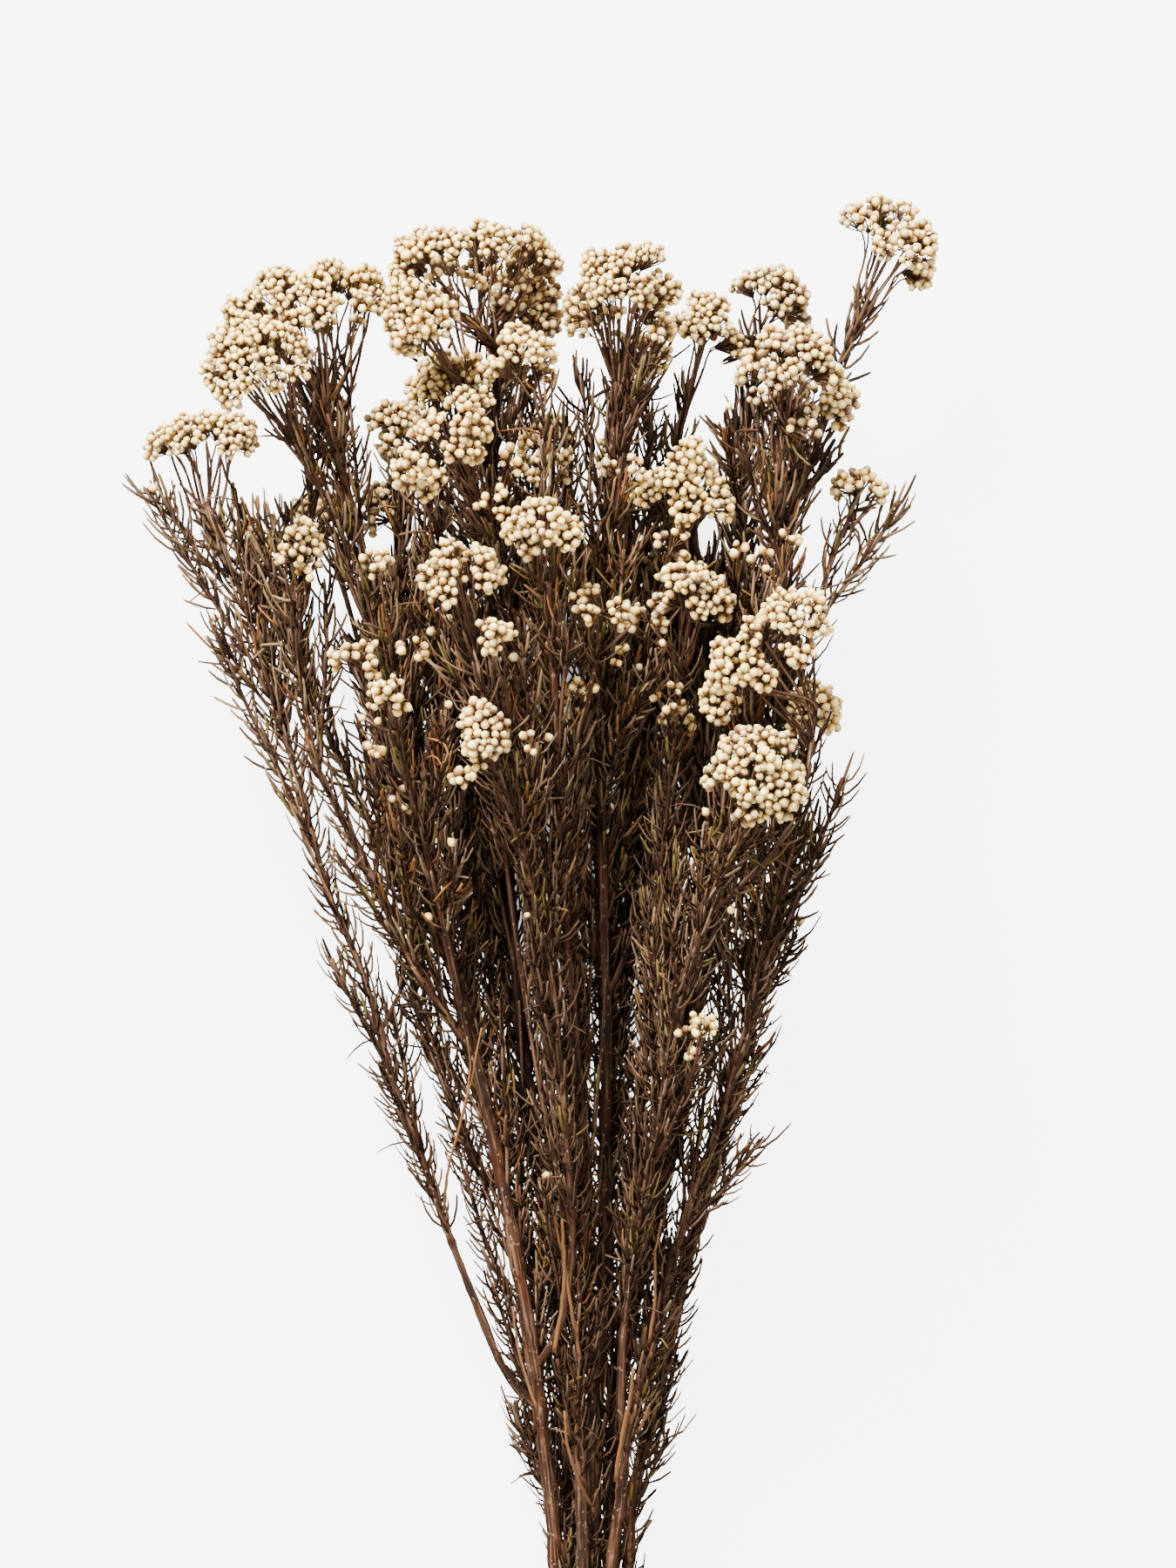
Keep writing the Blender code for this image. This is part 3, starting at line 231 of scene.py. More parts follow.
# How far along a leaf each station is, and how broad it is there
FINE_LEAF = ((0.0, 0.75), (0.3, 1.0), (0.63, 0.98), (0.93, 0.75))
PLAIN_LEAF = ((0.0, 0.75), (0.5, 1.0), (0.93, 0.78))
BARK_SLIM = 0.92  # how much of their width the lines show
SHOOT_SLIM = 0.78  # likewise the added shoots
LIMB_SHADE = -0.12
BRANCH_SHADE = -0.2
THICK = 1.8 * MM  # the radius above which a line is made round
BUD_SIZE = 3.05 * MM
LARGE_BUD = 3.4 * MM  # in the heads after the first SMALL_BUDS
SMALL_BUDS = 10
# The rings of a bud's bracts: height and radius, as shares of its own
BUD_RINGS = ((0.14, 0.54), (0.50, 1.0), (0.86, 0.62))
BUD_SIDES = 6
BUD_HEIGHTS = (0.92, 1.12)
BUD_BREADTHS = (0.9, 1.08)
BUD_DENTS = 0.08
BUD_RADII = (0.74, 1.12)
BUD_TONE = 0.64  # of most buds, on the way from tan to cream
BUD_TONES = 0.26  # how far they differ
BURIED = 0.74  # a bud is left out where it is nearer to another than this share of their radii
BUD_GAP = 2.65 * MM  # between the middles of buds in a cluster
PACKING = 0.87  # the area that one of many evenly spread places has, as a share of its spacing squared
CLUSTER_RADIUS = 6.2 * MM
CLUSTER_PITCH = 7.4 * MM
CLUSTER_SIZES = (0.85, 1.12)
CLUSTER_TONES = (-0.14, 0.12)
CLUSTERS_UP = 0.45  # how much they turn towards the head's own way
CLUSTER_STRAY = 0.15  # how far their ways out differ from even ones
CLUSTER_DEPTHS = (0.80, 1.08)
ONE_CLUSTER = 4.6 * MM  # the half width below which a head is one cluster
THICK_HEAD = 12 * MM
DOME_EDGES = (-0.12, 0.05)  # how far round a thick head its clusters reach, and round a flat one
AREA_POWER = 1.6  # of the rule for an ellipsoid's area
CLUSTERS_MISSING = 0.07  # the share of clusters left out of a large head
LARGE_HEAD = 12  # clusters
CLUSTER_EDGE = 0.12  # how far round a cluster its buds reach: 0 is half a ball
# The layers of buds in a cluster: how deep each lies in buds, how full it is, its edge, and how much paler
BUD_LAYERS = ((0.0, 1.0, CLUSTER_EDGE, 0.0), (0.55, 0.8, 0.1, -0.30))
WHOLE_HEADS = (31, 37)  # heads without a missing cluster
STUB_HEAD = 28  # the looks leave out the last points of the line that bears it
STUB_POINTS = 4
BARE_RAYS = (4, 28)  # heads whose rays have no leaves
LEAFY_RAYS_FROM = 9 * MM  # the half width of a head above which its rays have leaves
FIRST_ADDED = 101  # the number of the first flower head that only the looks have
SEEN_TONE = -0.18  # added heads that are paler than this keep clear of leaves
LOWEST_RAY = 1.1  # how far below a branch's tip its lowest ray starts, as a share of the head's half width
RAY_POINTS = 8
RAY_FORK = 0.68  # how far along a ray it forks
RAY_STRAY = 0.3 * MM  # how far rays start off their branch's middle line
LEAST_TWIG = 1.5 * MM
STALK_RADII = (0.26 * MM, 0.24 * MM)
DOME_CLEAR = 0.92  # the share of a dome, squared, that no leaf is in
FACE_CLEAR = 0.85  # the same of its outline, for leaves in front
FLOOR_SHADE = 0.25
FLOOR_GLOW = 5.8
FLOOR_HALF = 12.0
SHADOW_MIDDLE = 12 * MM
SHADOW_HALF = 43 * MM  # half width of the shadow under the bunch, at Y = 0
SHADOW_WIDENING = 0.21
SHADOW_DEPTH = 0.93
WORLD_GLOW = 0.85
LIT_PLACE = (0, 0.05, 0.05)
# Each light's place, size and power
LIGHTS = {"key": ((-0.8, 1.9, 1.5), 1.2, 600.0), "fill": ((0.7, -0.6, 2.0), 1.6, 60.0)}

# Flower heads that are seen into: their number, where they are open, and how far
OPEN_HEADS = {
    4: ("front", 0.25), 7: ("front", 0.30), 14: ("front", 0.25), 34: ("middle", 0.30), 37: ("middle", 0.24),
}

# How much paler or darker than most some flower heads are
HEAD_TONES = {
    6: -0.10, 8: -0.05, 11: -0.08, 12: 0.08, 14: 0.05, 15: -0.15, 16: -0.1, 17: 0.12, 22: -0.3, 24: -0.15,
    25: -0.22, 26: -0.15, 31: 0.08, 32: -0.15, 33: -0.2, 37: 0.08, 42: -0.12, 43: -0.1, 44: 0.15, 45: -0.3,
    46: -0.25, 47: -0.3, 48: -0.25, 49: -0.3, 50: -0.3, 51: -0.25, 52: -0.25,
}

# Leafy shoots that only the looks have: the limb, the picture row where each leaves it, and its tip
MORE_SHOOTS = [
    ("a_outer", 1395, (443, 1232, 40)), ("a", 1480, (468, 1104, 48)), ("a", 1420, (471, 1143, 30)),
    ("a", 1600, (520, 1300, 30)), ("f", 1500, (560, 1290, 18)), ("e", 1700, (778, 1555, 14)),
    ("e", 1740, (768, 1640, 12)), ("e", 1780, (748, 1745, 10)), ("g", 1780, (738, 1690, 6)),
    ("f", 1760, (590, 1610, 6)), ("f", 1730, (600, 1560, 10)), ("f", 560, (575, 428, 88)),
    ("f", 600, (606, 440, 90)), ("f", 590, (560, 442, 92)), ("f", 620, (614, 462, 84)),
    ("c", 620, (668, 428, 92)), ("c", 640, (722, 432, 92)), ("c", 680, (716, 520, 98)),
    ("c", 700, (676, 540, 98)), ("a", 1740, (604, 1640, 12)), ("d", 1700, (760, 1500, 40)),
    ("d_front", 1500, (740, 1360, 66)), ("g", 640, (842, 470, 40)), ("g", 600, (852, 448, 38)),
    ("e", 700, (874, 476, 62)), ("e", 680, (888, 492, 70)), ("g_outer", 640, (925, 500, 36)),
    ("g_outer", 600, (948, 524, 40)), ("e", 660, (914, 505, 66)), ("g_outer", 560, (968, 520, 44)),
    ("f", 820, (540, 662, 70)), ("f", 840, (604, 672, 62)), ("h", 1700, (640, 1560, 36)),
    ("h", 1640, (690, 1480, 44)), ("c", 1720, (700, 1600, 26)),
]
# Rows above which these limbs are leafy in the looks
LEAFY_BELOW = {"e": 1880, "g": 1860, "f": 1800, "d": 1660, "h": 1700, "c": 1500, "a_outer": 1420}

# Picture rows, each with the first and last column between which shoots fill the bunch
FILL_EDGES = [
    (400, 380, 960), (560, 262, 925), (620, 280, 912), (700, 302, 890), (850, 340, 880), (950, 446, 860),
    (1000, 484, 842), (1100, 512, 820), (1200, 552, 796), (1300, 584, 770), (1400, 586, 754),
    (1500, 594, 734), (1600, 608, 724), (1700, 628, 720), (1800, 638, 718),
]
FILL_ROWS = (400, 1790, 13)
FILL_COLUMN = 20  # picture elements between shoots' tips
FILL_STRAY = 12  # picture rows that a tip may be off its own
FILL_LENGTHS = (45 * MM, 100 * MM)
FILL_RISE = (-26 * MM, 8 * MM)  # of a shoot's tip over its foot
FILL_LEVEL = 30 * MM  # the height that a shoot is first tried at
FILL_LOWERED = 22 * MM  # how much lower it is tried again
FILL_LOWEST = 5 * MM
FILL_SOURCE = (676, 2250)  # the picture point that shoots point away from
# From a picture row on, how many lines pass each place
FILL_LAYERS = [(0, 1), (500, 3), (600, 4), (680, 6), (1000, 7), (1300, 6), (1450, 5), (1640, 3)]
FILL_PROBES = (2, 9, 17)  # mm below a tip, where the lines are counted
COVER_CELL = 4 * MM
# A shoot's foot is sought among the limbs by its lean, and by what each mm off its length costs
LENGTH_COST = 0.012
LUCK = 0.15
SPRAY_LENGTHS = (28, 46)  # mm, of the shoots that bear only an added head
# White parts of the picture, which leaves and shoots leave clear: first column and row, last column and row
WHITE_GAPS = [
    (404, 375, 462, 445), (424, 604, 450, 645), (388, 677, 410, 714), (790, 400, 842, 482),
    (1004, 424, 1040, 505), (964, 505, 1040, 545), (276, 512, 342, 574), (800, 606, 818, 640),
]
# Parts that only shoots leave clear
KEPT_CLEAR = [
    (360, 802, 391, 910), (370, 777, 406, 815), (640, 390, 700, 420), (330, 940, 440, 1180),
    (784, 392, 848, 490), (640, 1100, 650, 1120), (800, 604, 834, 644), (925, 420, 1040, 545),
    (419, 600, 454, 649), (388, 677, 414, 718),
]
# Limbs that are seen bare, and between which picture rows
IN_SIGHT = {"a": (1060, 1790), "c": (990, 1330), "f": (1000, 1270), "a_front": (1400, 1560)}
# Limbs that are darker than most, or rusty, and how much of their width shows
LIMB_SHADES = {
    "f": (-0.7, 1.0), "c": (-0.35, 0.85), "g": (-0.5, 0.92), "a_front": (0.1, 0.72),
    "a_outer": (-0.3, 0.85), "h": (-0.2, 0.92),
}

# Small flower heads that only the looks have: the head whose branch bears it, or 0 for a shoot of its own,
# how much paler it is, and its place, size and turn as for the others
MORE_FLOWERS = [
    (4, -0.19, 520, 318, 84, 26, 14, 15, 0, 10), (4, -0.20, 556, 330, 78, 26, 14, 15, 0, 10),
    (4, -0.14, 584, 316, 80, 24, 14, 16, 10, 10), (4, -0.08, 608, 304, 78, 28, 14, 18, 14, 10),
    (7, -0.26, 738, 384, 84, 26, 12, 13, 10, 0), (16, 0.12, 584, 522, 108, 13, 12, 10, 0, 30),
    (4, -0.12, 470, 300, 84, 22, 16, 14, -24, 10), (5, -0.05, 478, 372, 118, 22, 16, 14, -20, 30),
    (6, -0.15, 622, 352, 70, 22, 16, 16, 20, 10), (10, 0.0, 528, 415, 96, 24, 16, 12, 0, 30),
    (7, -0.22, 716, 364, 98, 38, 14, 12, 0, 10), (7, -0.1, 672, 340, 100, 22, 14, 13, -25, 10),
    (2, -0.20, 372, 372, 82, 32, 14, 10, -12, 10), (3, 0.0, 250, 398, 112, 22, 18, 14, -40, 20),
    (15, -0.22, 625, 530, 96, 20, 14, 13, 0, 20), (15, -0.22, 630, 500, 90, 24, 16, 14, 6, 15),
    (16, 0.05, 566, 574, 118, 16, 14, 11, -10, 40), (24, -0.15, 716, 532, 94, 20, 14, 14, 0, 10),
    (33, -0.05, 772, 617, 92, 16, 14, 12, 5, 30), (32, -0.20, 748, 703, 98, 18, 14, 13, -10, 20),
    (0, -0.22, 512, 712, 98, 13, 10, 11, 0, 20), (43, -0.22, 768, 798, 96, 16, 12, 15, 0, 20),
    (34, 0.0, 654, 684, 112, 7, 7, 6, -20, 40), (0, -0.15, 586, 750, 108, 7, 7, 6, 0, 20),
    (30, -0.15, 877, 640, 96, 13, 10, 9, 0, 30), (26, -0.22, 922, 486, 90, 18, 12, 10, 10, 20),
    (26, -0.30, 924, 450, 74, 26, 16, 15, 12, 10), (26, -0.32, 884, 446, 66, 24, 14, 14, 0, 10),
    (26, 0.10, 937, 478, 96, 9, 8, 7, 0, 30), (29, -0.05, 972, 556, 66, 12, 10, 9, -10, 10),
    (29, 0.0, 1012, 556, 64, 11, 10, 8, 20, 10), (31, 0.08, 846, 768, 112, 20, 16, 12, -35, 50),
    (39, 0.0, 474, 744, 110, 15, 12, 11, 10, 40), (39, 0.05, 424, 818, 108, 13, 11, 10, -10, 40),
    (41, 0.05, 531, 888, 116, 12, 12, 9, -10, 50), (41, 0.05, 552, 866, 120, 13, 12, 9, 0, 50),
    (19, -0.05, 356, 655, 88, 13, 12, 11, 10, 30),
    (20, -0.2, 318, 612, 66, 14, 12, 10, 0, 20), (42, -0.1, 668, 782, 96, 13, 11, 11, 0, 30),
    (0, -0.05, 850, 625, 92, 12, 10, 9, 0, 30), (0, 0.0, 612, 846, 114, 15, 11, 10, 0, 40),
    (0, -0.2, 719, 753, 92, 14, 11, 11, 0, 20), (0, 0.05, 845, 1038, 76, 9, 8, 8, 0, 30),
    (0, 0.1, 836, 463, 94, 6, 6, 5, 0, 20), (0, 0.2, 520, 958, 104, 5, 5, 5, 0, 30),
    (0, 0.0, 510, 806, 108, 7, 6, 6, 0, 30), (0, 0.05, 625, 1350, 68, 5, 5, 5, 0, 30),
    (0, 0.0, 755, 738, 104, 8, 7, 7, 0, 30), (0, -0.1, 812, 934, 104, 8, 7, 7, 0, 30),
    (0, 0.0, 246, 712, 62, 7, 7, 7, -20, 10), (0, 0.05, 176, 556, 66, 6, 6, 5, -30, 10),
    (0, -0.05, 495, 1050, 74, 6, 6, 5, 0, 20), (0, 0.1, 915, 1055, 62, 5, 5, 5, 0, 20),
    (0, 0.1, 782, 588, 96, 5, 5, 5, 0, 20), (0, -0.05, 606, 1050, 98, 5, 5, 5, 0, 20),
    (20, -0.3, 290, 608, 60, 13, 12, 11, 0, 10), (0, -0.3, 430, 858, 96, 11, 10, 10, 0, 20),
    (0, -0.3, 456, 912, 92, 11, 10, 10, 0, 20), (44, 0.1, 792, 1188, 84, 17, 13, 11, 0, 40),
    (44, 0.1, 812, 1170, 86, 12, 11, 10, 20, 40), (42, -0.15, 656, 792, 92, 14, 12, 11, -10, 30),
    (26, -0.30, 934, 450, 66, 15, 12, 10, 0, 10),
    (32, -0.3, 722, 706, 92, 13, 12, 11, -10, 20), (0, -0.28, 640, 560, 90, 13, 11, 11, 0, 20),
]
# Thin leafless twigs: the stem, the radius in mm, a shade that is rusty above 1, and the corners of the route
BARE_TWIGS = [
    ("left", 0.6, 2.0, [(509, 1392, 41), (515, 1340, 50), (528, 1290, 56), (541, 1239, 60), (553, 1180, 62)]),
    ("left", 0.5, 1.8, [(535, 1268, 57), (540, 1225, 62), (536, 1190, 66)]),
    ("left", 0.7, 1.2, [(386, 1044, 54), (370, 1010, 57), (350, 960, 60), (332, 920, 60), (317, 882, 58)]),
    ("left", 0.9, 1.8, [(636, 1552, 42), (645, 1500, 48), (648, 1450, 54), (645, 1400, 60)]),
    ("left", 0.7, 1.6, [(617, 1620, 34), (598, 1560, 38), (588, 1500, 42)]),
    ("right", 0.9, 1.9, [(706, 1700, 30), (712, 1660, 36), (722, 1610, 42), (727, 1570, 47)]),
    ("centre", 0.8, 1.6, [(684, 1740, 20), (664, 1700, 32), (652, 1660, 38), (648, 1620, 42)]),
    ("front", 0.8, 1.5, [(666, 1560, 40), (655, 1500, 48), (646, 1440, 54), (632, 1380, 60)]),
    ("far_right", 0.7, 1.6, [(812, 1365, 36), (830, 1345, 40), (852, 1322, 44), (872, 1300, 47)]),
    ("left", 0.45, 2.2, [
        (492, 848, 100), (506, 852, 106), (515, 862, 108), (512, 874, 108), (503, 878, 106)]),
    ("left", 0.45, 2.2, [(488, 872, 100), (498, 868, 106), (506, 874, 108), (506, 886, 106)]),
    ("left", 0.45, 2.0, [(520, 900, 100), (516, 880, 106), (518, 862, 110)]),
    ("right", 0.7, 1.5, [(745, 1540, 40), (752, 1490, 46), (752, 1440, 52), (760, 1400, 56)]),
]
HEADS_SEEN = 44  # flower heads that the viewer sees
BEHIND_LEAVES = {6, 9, 15, 20, 22, 24, 33, 43}  # those among them that leaves may pass in front of


@dataclass
class Line:
    """A limb, branch or leafy shoot: its middle line from foot to tip, and the radius at each point."""

    stem: str
    points: list
    radii: list
    parent: "Line" = None
    joint: int = 0  # the parent's point that it grows from
    leafy_from: int = 0
    head: int = None
    moved: list = field(default_factory=list)

    def grow_to(self, more, radius):
        """Lengthens the line through more points, and tapers it to a radius at the new tip."""
        start = self.radii[-1]
        self.points += more
        self.radii += [start + (radius - start) * (i + 1) / len(more) for i in range(len(more))]


@dataclass
class Head:
    """A flower head's place: the middle of its flat underside, its axes, and its size along each."""

    foot: Vector
    along: Vector  # out of the branch, through the middle of the dome
    wide: Vector
    deep: Vector
    size: Vector  # half width, half depth, thickness
    junction: Vector = None  # where its branch ends in rays
    veiled: bool = False  # whether leaves may pass in front of it


def pixel_at(height):
    """The real width of one picture element at a height."""
    return PIXEL * (VIEW_DISTANCE + MIDDLE_HEIGHT - height) / VIEW_DISTANCE


def at_picture(column, row, height):
    """The point at a height, in metres, that the viewer sees at that place in the picture."""
    pixel = pixel_at(height)
    return Vector(((column - MIDDLE[0]) * pixel - ASIDE[0], (MIDDLE[1] - row) * pixel - ASIDE[1], height))


def smooth_route(corners):
    """Points every STEP along one smooth curve through the corners."""
    ends = [2 * corners[0] - corners[1], *corners, 2 * corners[-1] - corners[-2]]
    fine = []
    for before, start, end, after in zip(ends, ends[1:], ends[2:], ends[3:]):
        pieces = max(2, round((end - start).length / (0.5 * STEP)))
        for i in range(pieces):
            fine.append(hermite(start, (end - before) / 2, end, (after - start) / 2, i / pieces))
    return even_steps([*fine, corners[-1]])


def hermite(start, leave, end, arrive, t):
    return (
        (1 + 2 * t) * (1 - t) ** 2 * start
        + t * (1 - t) ** 2 * leave
        + t * t * (3 - 2 * t) * end
        + t * t * (t - 1) * arrive
    )


def even_steps(fine):
    """The same line with its points an even distance apart, close to STEP."""
    reach = [0.0]
    for a, b in zip(fine, fine[1:]):
        reach.append(reach[-1] + (b - a).length)
    count = max(4, round(reach[-1] / STEP))
    points, at = [], 0
    for i in range(count + 1):
        goal = reach[-1] * i / count
        while at < len(fine) - 2 and reach[at + 1] < goal:
            at += 1
        share = (goal - reach[at]) / max(reach[at + 1] - reach[at], 1e-9)
        points.append(fine[at].lerp(fine[at + 1], min(1.0, share)))
    return points


def tapered(count, foot, tip):
    return [foot + (tip - foot) * i / (count - 1) for i in range(count)]


def heading(points, i):
    return (points[min(i + 1, len(points) - 1)] - points[max(i - 1, 0)]).normalized()


def nearest(points, place):
    return min(range(len(points)), key=lambda i: (points[i] - place).length_squared)


def point_at_row(line, row):
    """The line's point that lies at that picture row."""
    return min(range(len(line.points)), key=lambda i: abs(picture_row(line.points[i]) - row))


def picture_row(point):
    level = at_picture(0, 0, point.z)
    below = at_picture(0, PICTURE[1], point.z)
    return PICTURE[1] * (level.y - point.y) / (level.y - below.y)


def place_head(column, row, height, width, depth, thickness, lean, face):
    lean, face = math.radians(lean), math.radians(face)
    upright = Vector((math.sin(lean), math.cos(lean), 0))
    along = upright * math.cos(face) + Vector((0, 0, math.sin(face)))
    wide = Vector((math.cos(lean), -math.sin(lean), 0))
    size = Vector((width / 2, depth / 2, thickness)) * MM
    foot = at_picture(column, row, height * MM) - along * size.z / 2
    return Head(foot, along, wide, along.cross(wide), size)


def place_heads():
    """The flower heads, each with a junction for its rays where no other head is in the way."""
    heads = [place_head(*row[:-1]) for row in HEADS]
    for head in heads:
        others = [other for other in heads if other is not head]
        choices = [
            head.foot - down * (reach * min(RAY_LENGTHS[1], max(RAY_LENGTHS[0], 1.1 * head.size.x)))
            for reach in (1.0, 0.8, 0.6)
            for down in ways_down(head)
        ]
        head.junction = min(choices, key=lambda place: crowding(head.foot, place, others))
    return heads


def ways_down(head):
    """Ways from a head to its junction: straight back from its dome, or turned towards the bunch's foot."""
    flat = Vector((head.along.x, head.along.y, 0)).normalized()
    for share in (0.4, 0.0, 0.8):
        yield head.along.lerp(flat, share).normalized()


def crowding(start, end, others):
    """How deep a straight line runs into other heads; nothing where it is clear of them all."""
    spots = [start.lerp(end, k / 5) for k in range(6)]
    return sum(max(0.0, inside(other, spot, 2 * MM)) for other in others for spot in spots)


def grow_limbs():
    limbs = {}
    for name, (stem, parent, radii, leafy_row, route) in LIMBS.items():
        corners = [at_picture(u, v, z * MM) for u, v, z in route]
        points = smooth_route(corners)
        line = Line(stem, points, tapered(len(points), radii[0] * MM, radii[1] * MM))
        if parent:
            line.parent = limbs[parent]
            line.joint = nearest(line.parent.points, points[0])
        line.leafy_from = next(i for i, p in enumerate(points) if picture_row(p) < leafy_row)
        limbs[name] = line
    return limbs


def grow_branches(limbs, heads):
    """Carries each limb on to the head nearest its tip, and grows a branch to each of its other heads."""
    borne = {name: [n for n, row in enumerate(HEADS) if row[-1] == name] for name in limbs}
    branches = []
    for name, numbers in borne.items():
        limb = limbs[name]
        by_reach = sorted(numbers, key=lambda n: (heads[n].junction - limb.points[-1]).length)
        for number in by_reach[1:]:
            joint = fork_point(limb, heads[number].junction)
            points = reach_for(heads[number], limb, joint)
            radii = tapered(len(points), min(BRANCH_RADII[0], 0.8 * limb.radii[joint]), BRANCH_RADII[1])
            branches.append(Line(limb.stem, points, radii, limb, joint, 5, number))
        if by_reach:
            limb.head = by_reach[0]
            limb.grow_to(reach_for(heads[limb.head], limb, len(limb.points) - 1)[1:], BRANCH_RADII[1])
    return branches


def reach_for(head, limb, joint):
    """Points from a limb to where the head's rays start, arriving along the way that the head faces."""
    start, goal = limb.points[joint], head.junction
    toward = (goal - start).normalized()
    gap = (goal - start).length
    leave = (1.7 * toward - 0.7 * heading(limb.points, joint)).normalized()
    arrive = (head.along * 0.5 + toward).normalized()
    return even_steps([hermite(start, leave * gap, goal, arrive * gap, i / 40) for i in range(41)])


def fork_point(limb, goal):
    """Where a branch to the goal leaves its limb, so that it gains distance from it slowly."""
    here = nearest(limb.points, goal)
    aside = (limb.points[here] - goal).length
    back = min(BRANCH_LENGTHS[1], max(BRANCH_LENGTHS[0], aside / BRANCH_SLOPE))
    return max(2, here - round(back / STEP))


def grow_shoots(limbs):
    shoots = []
    for name, row, tip in SHOOTS:
        limb = limbs[name]
        joint = point_at_row(limb, row)
        shoots.append(shoot_to(limb, joint, at_picture(tip[0], tip[1], tip[2] * MM)))
    draw = random.Random(7)
    for name in LIMB_SHOOTS:
        limb = limbs[name]
        first, last = (point_at_row(limb, row) for row in reversed(LIMB_SHOOT_ROWS))
        first = max(first, round(1.5 * FORK_REACH / STEP))
        turn = draw.uniform(0, math.tau)
        for joint in range(first, min(last, len(limb.points) - 12), round(LIMB_SHOOT_SPACING / STEP)):
            turn += GOLDEN
            length = draw.uniform(*SHOOT_LENGTHS)
            ahead = heading(limb.points, joint)
            side = Matrix.Rotation(turn, 3, ahead) @ ahead.orthogonal().normalized()
            side.z *= 0.8
            beside = limb.points[min(joint + round(length / STEP), len(limb.points) - 1)]
            tip = beside + side * length * SHOOT_REACH
            tip.z = max(tip.z, 6 * MM)
            shoots.append(shoot_to(limb, joint, tip))
    return shoots


def shoot_to(limb, joint, tip):
    start = limb.points[joint]
    toward = (tip - start).normalized()
    gap = (tip - start).length
    arrive = (heading(limb.points, joint) * 0.6 + toward).normalized()
    points = even_steps([hermite(start, toward * gap, tip, arrive * gap, i / 30) for i in range(31)])
    return Line(limb.stem, points, tapered(len(points), *SHOOT_RADII), limb, joint, 4)


class Room:
    """What is placed, as balls in a grid, so that a line's neighbours are quick to find."""

    CELL = 6 * MM

    def __init__(self):
        self.cells = {}

    def cell(self, point):
        return tuple(math.floor(x / self.CELL) for x in point)

    def add(self, point, radius, owner, index=0):
        self.cells.setdefault(self.cell(point), []).append((point, radius, owner, index))

    def near(self, point):
        i, j, k = self.cell(point)
        for di, dj, dk in product((-1, 0, 1), repeat=3):
            yield from self.cells.get((i + di, j + dj, k + dk), ())


def inside(head, point, margin):
    """How far a point is inside the head's outline, grown by a margin: above 0 within it."""
    middle = head.foot + head.along * head.size.z / 2
    offset = point - middle
    x = offset.dot(head.wide) / (head.size.x + margin)
    y = offset.dot(head.deep) / (head.size.y + margin)
    z = offset.dot(head.along) / (head.size.z / 2 + margin)
    return 1 - (x * x + y * y + z * z) ** 0.5


def bend_clear(lines, heads):
    """Moves the lines apart, and off the flower heads, until they no longer touch."""
    for _ in range(BENDS):
        room = Room()
        for line in lines:
            if line.head is not None:
                add_rays(room, heads[line.head], line)
        for number, line in enumerate(lines):
            for i, point in enumerate(line.points):
                room.add(point, line.radii[i], number, i)
        for number, line in enumerate(lines):
            line.moved = [push(lines, number, i, room, heads) for i in range(len(line.points))]
        for line in lines:
            shift(line)
    for line in lines:
        if line.parent:
            line.points[0] = line.parent.points[line.joint].copy()


def rays_of(line):
    return ("rays", line.head)


def joined(lines, number, i, other, j):
    """Whether two points lie where their lines grow out of one another, or out of one place."""
    if other not in range(len(lines)):
        return False
    line, rival = lines[number], lines[other]
    if rival is line.parent:
        return i * STEP < FORK_REACH
    if line is rival.parent:
        return j * STEP < FORK_REACH
    siblings = line.parent and line.parent is rival.parent
    return siblings and STEP * max(abs(line.joint - rival.joint), min(i, j)) < FORK_REACH


def push(lines, number, i, room, heads):
    """The move that takes one point of a line off what it is too near to."""
    line = lines[number]
    point, radius = line.points[i], line.radii[i]
    move = Vector((0, 0, 0))
    for place, size, other, j in room.near(point):
        apart = point - place
        short = radius + size + CLEAR - apart.length
        if short <= 0 or other in (number, rays_of(line)) or joined(lines, number, i, other, j):
            continue
        apart.z = LIFT * apart.z + 1e-6
        move += apart.normalized() * short * 0.5
    for n, head in enumerate(heads):
        own = n == line.head and i >= len(line.points) - HELD_TIP
        offset = point - head.foot - head.along * head.size.z / 2
        if own or offset.length > max(head.size) + HEAD_CLEAR + radius:
            continue
        deep = inside(head, point, radius + HEAD_CLEAR)
        if deep > 0:
            move += way_out(head, offset, heading(line.points, i)) * deep * HEAD_PUSH
    low = radius + CLEAR - point.z
    if low > 0 and line.parent:
        move.z += low
    return move


def way_out(head, offset, ahead):
    """The shortest way out of a head's outline for a line that runs past, across the line."""
    x = head.wide * (offset.dot(head.wide) / head.size.x**2)
    y = head.deep * (offset.dot(head.deep) / head.size.y**2)
    z = head.along * (offset.dot(head.along) / (0.5 * head.size.z) ** 2)
    way = x + y + z
    return (way - ahead * way.dot(ahead)).normalized()


def shift(line):
    """Applies a line's moves, evened out along it, with its foot following its parent and its tip held."""
    last = len(line.points) - 1
    new = []
    for i, point in enumerate(line.points):
        window = line.moved[max(0, i - EVENED) : i + EVENED + 1]
        mean = sum(window, Vector((0, 0, 0))) / (2 * EVENED + 1)
        mean *= min(1.0, LARGEST_BEND / max(mean.length, LARGEST_BEND))
        tip_hold = 1.0 if line.head is None else min(1.0, (last - i) / HELD_TIP)
        foot_hold = min(1.0, i / (HELD_FOOT if line.parent else HELD_CUT))
        new.append(point + mean * MOVED * tip_hold * foot_hold)
    if line.parent:
        drift = line.parent.points[line.joint] - new[0]
        reach = min(DRAWN, last)
        for i in range(reach):
            new[i] = new[i] + drift * (1 - i / reach)
    line.points = new


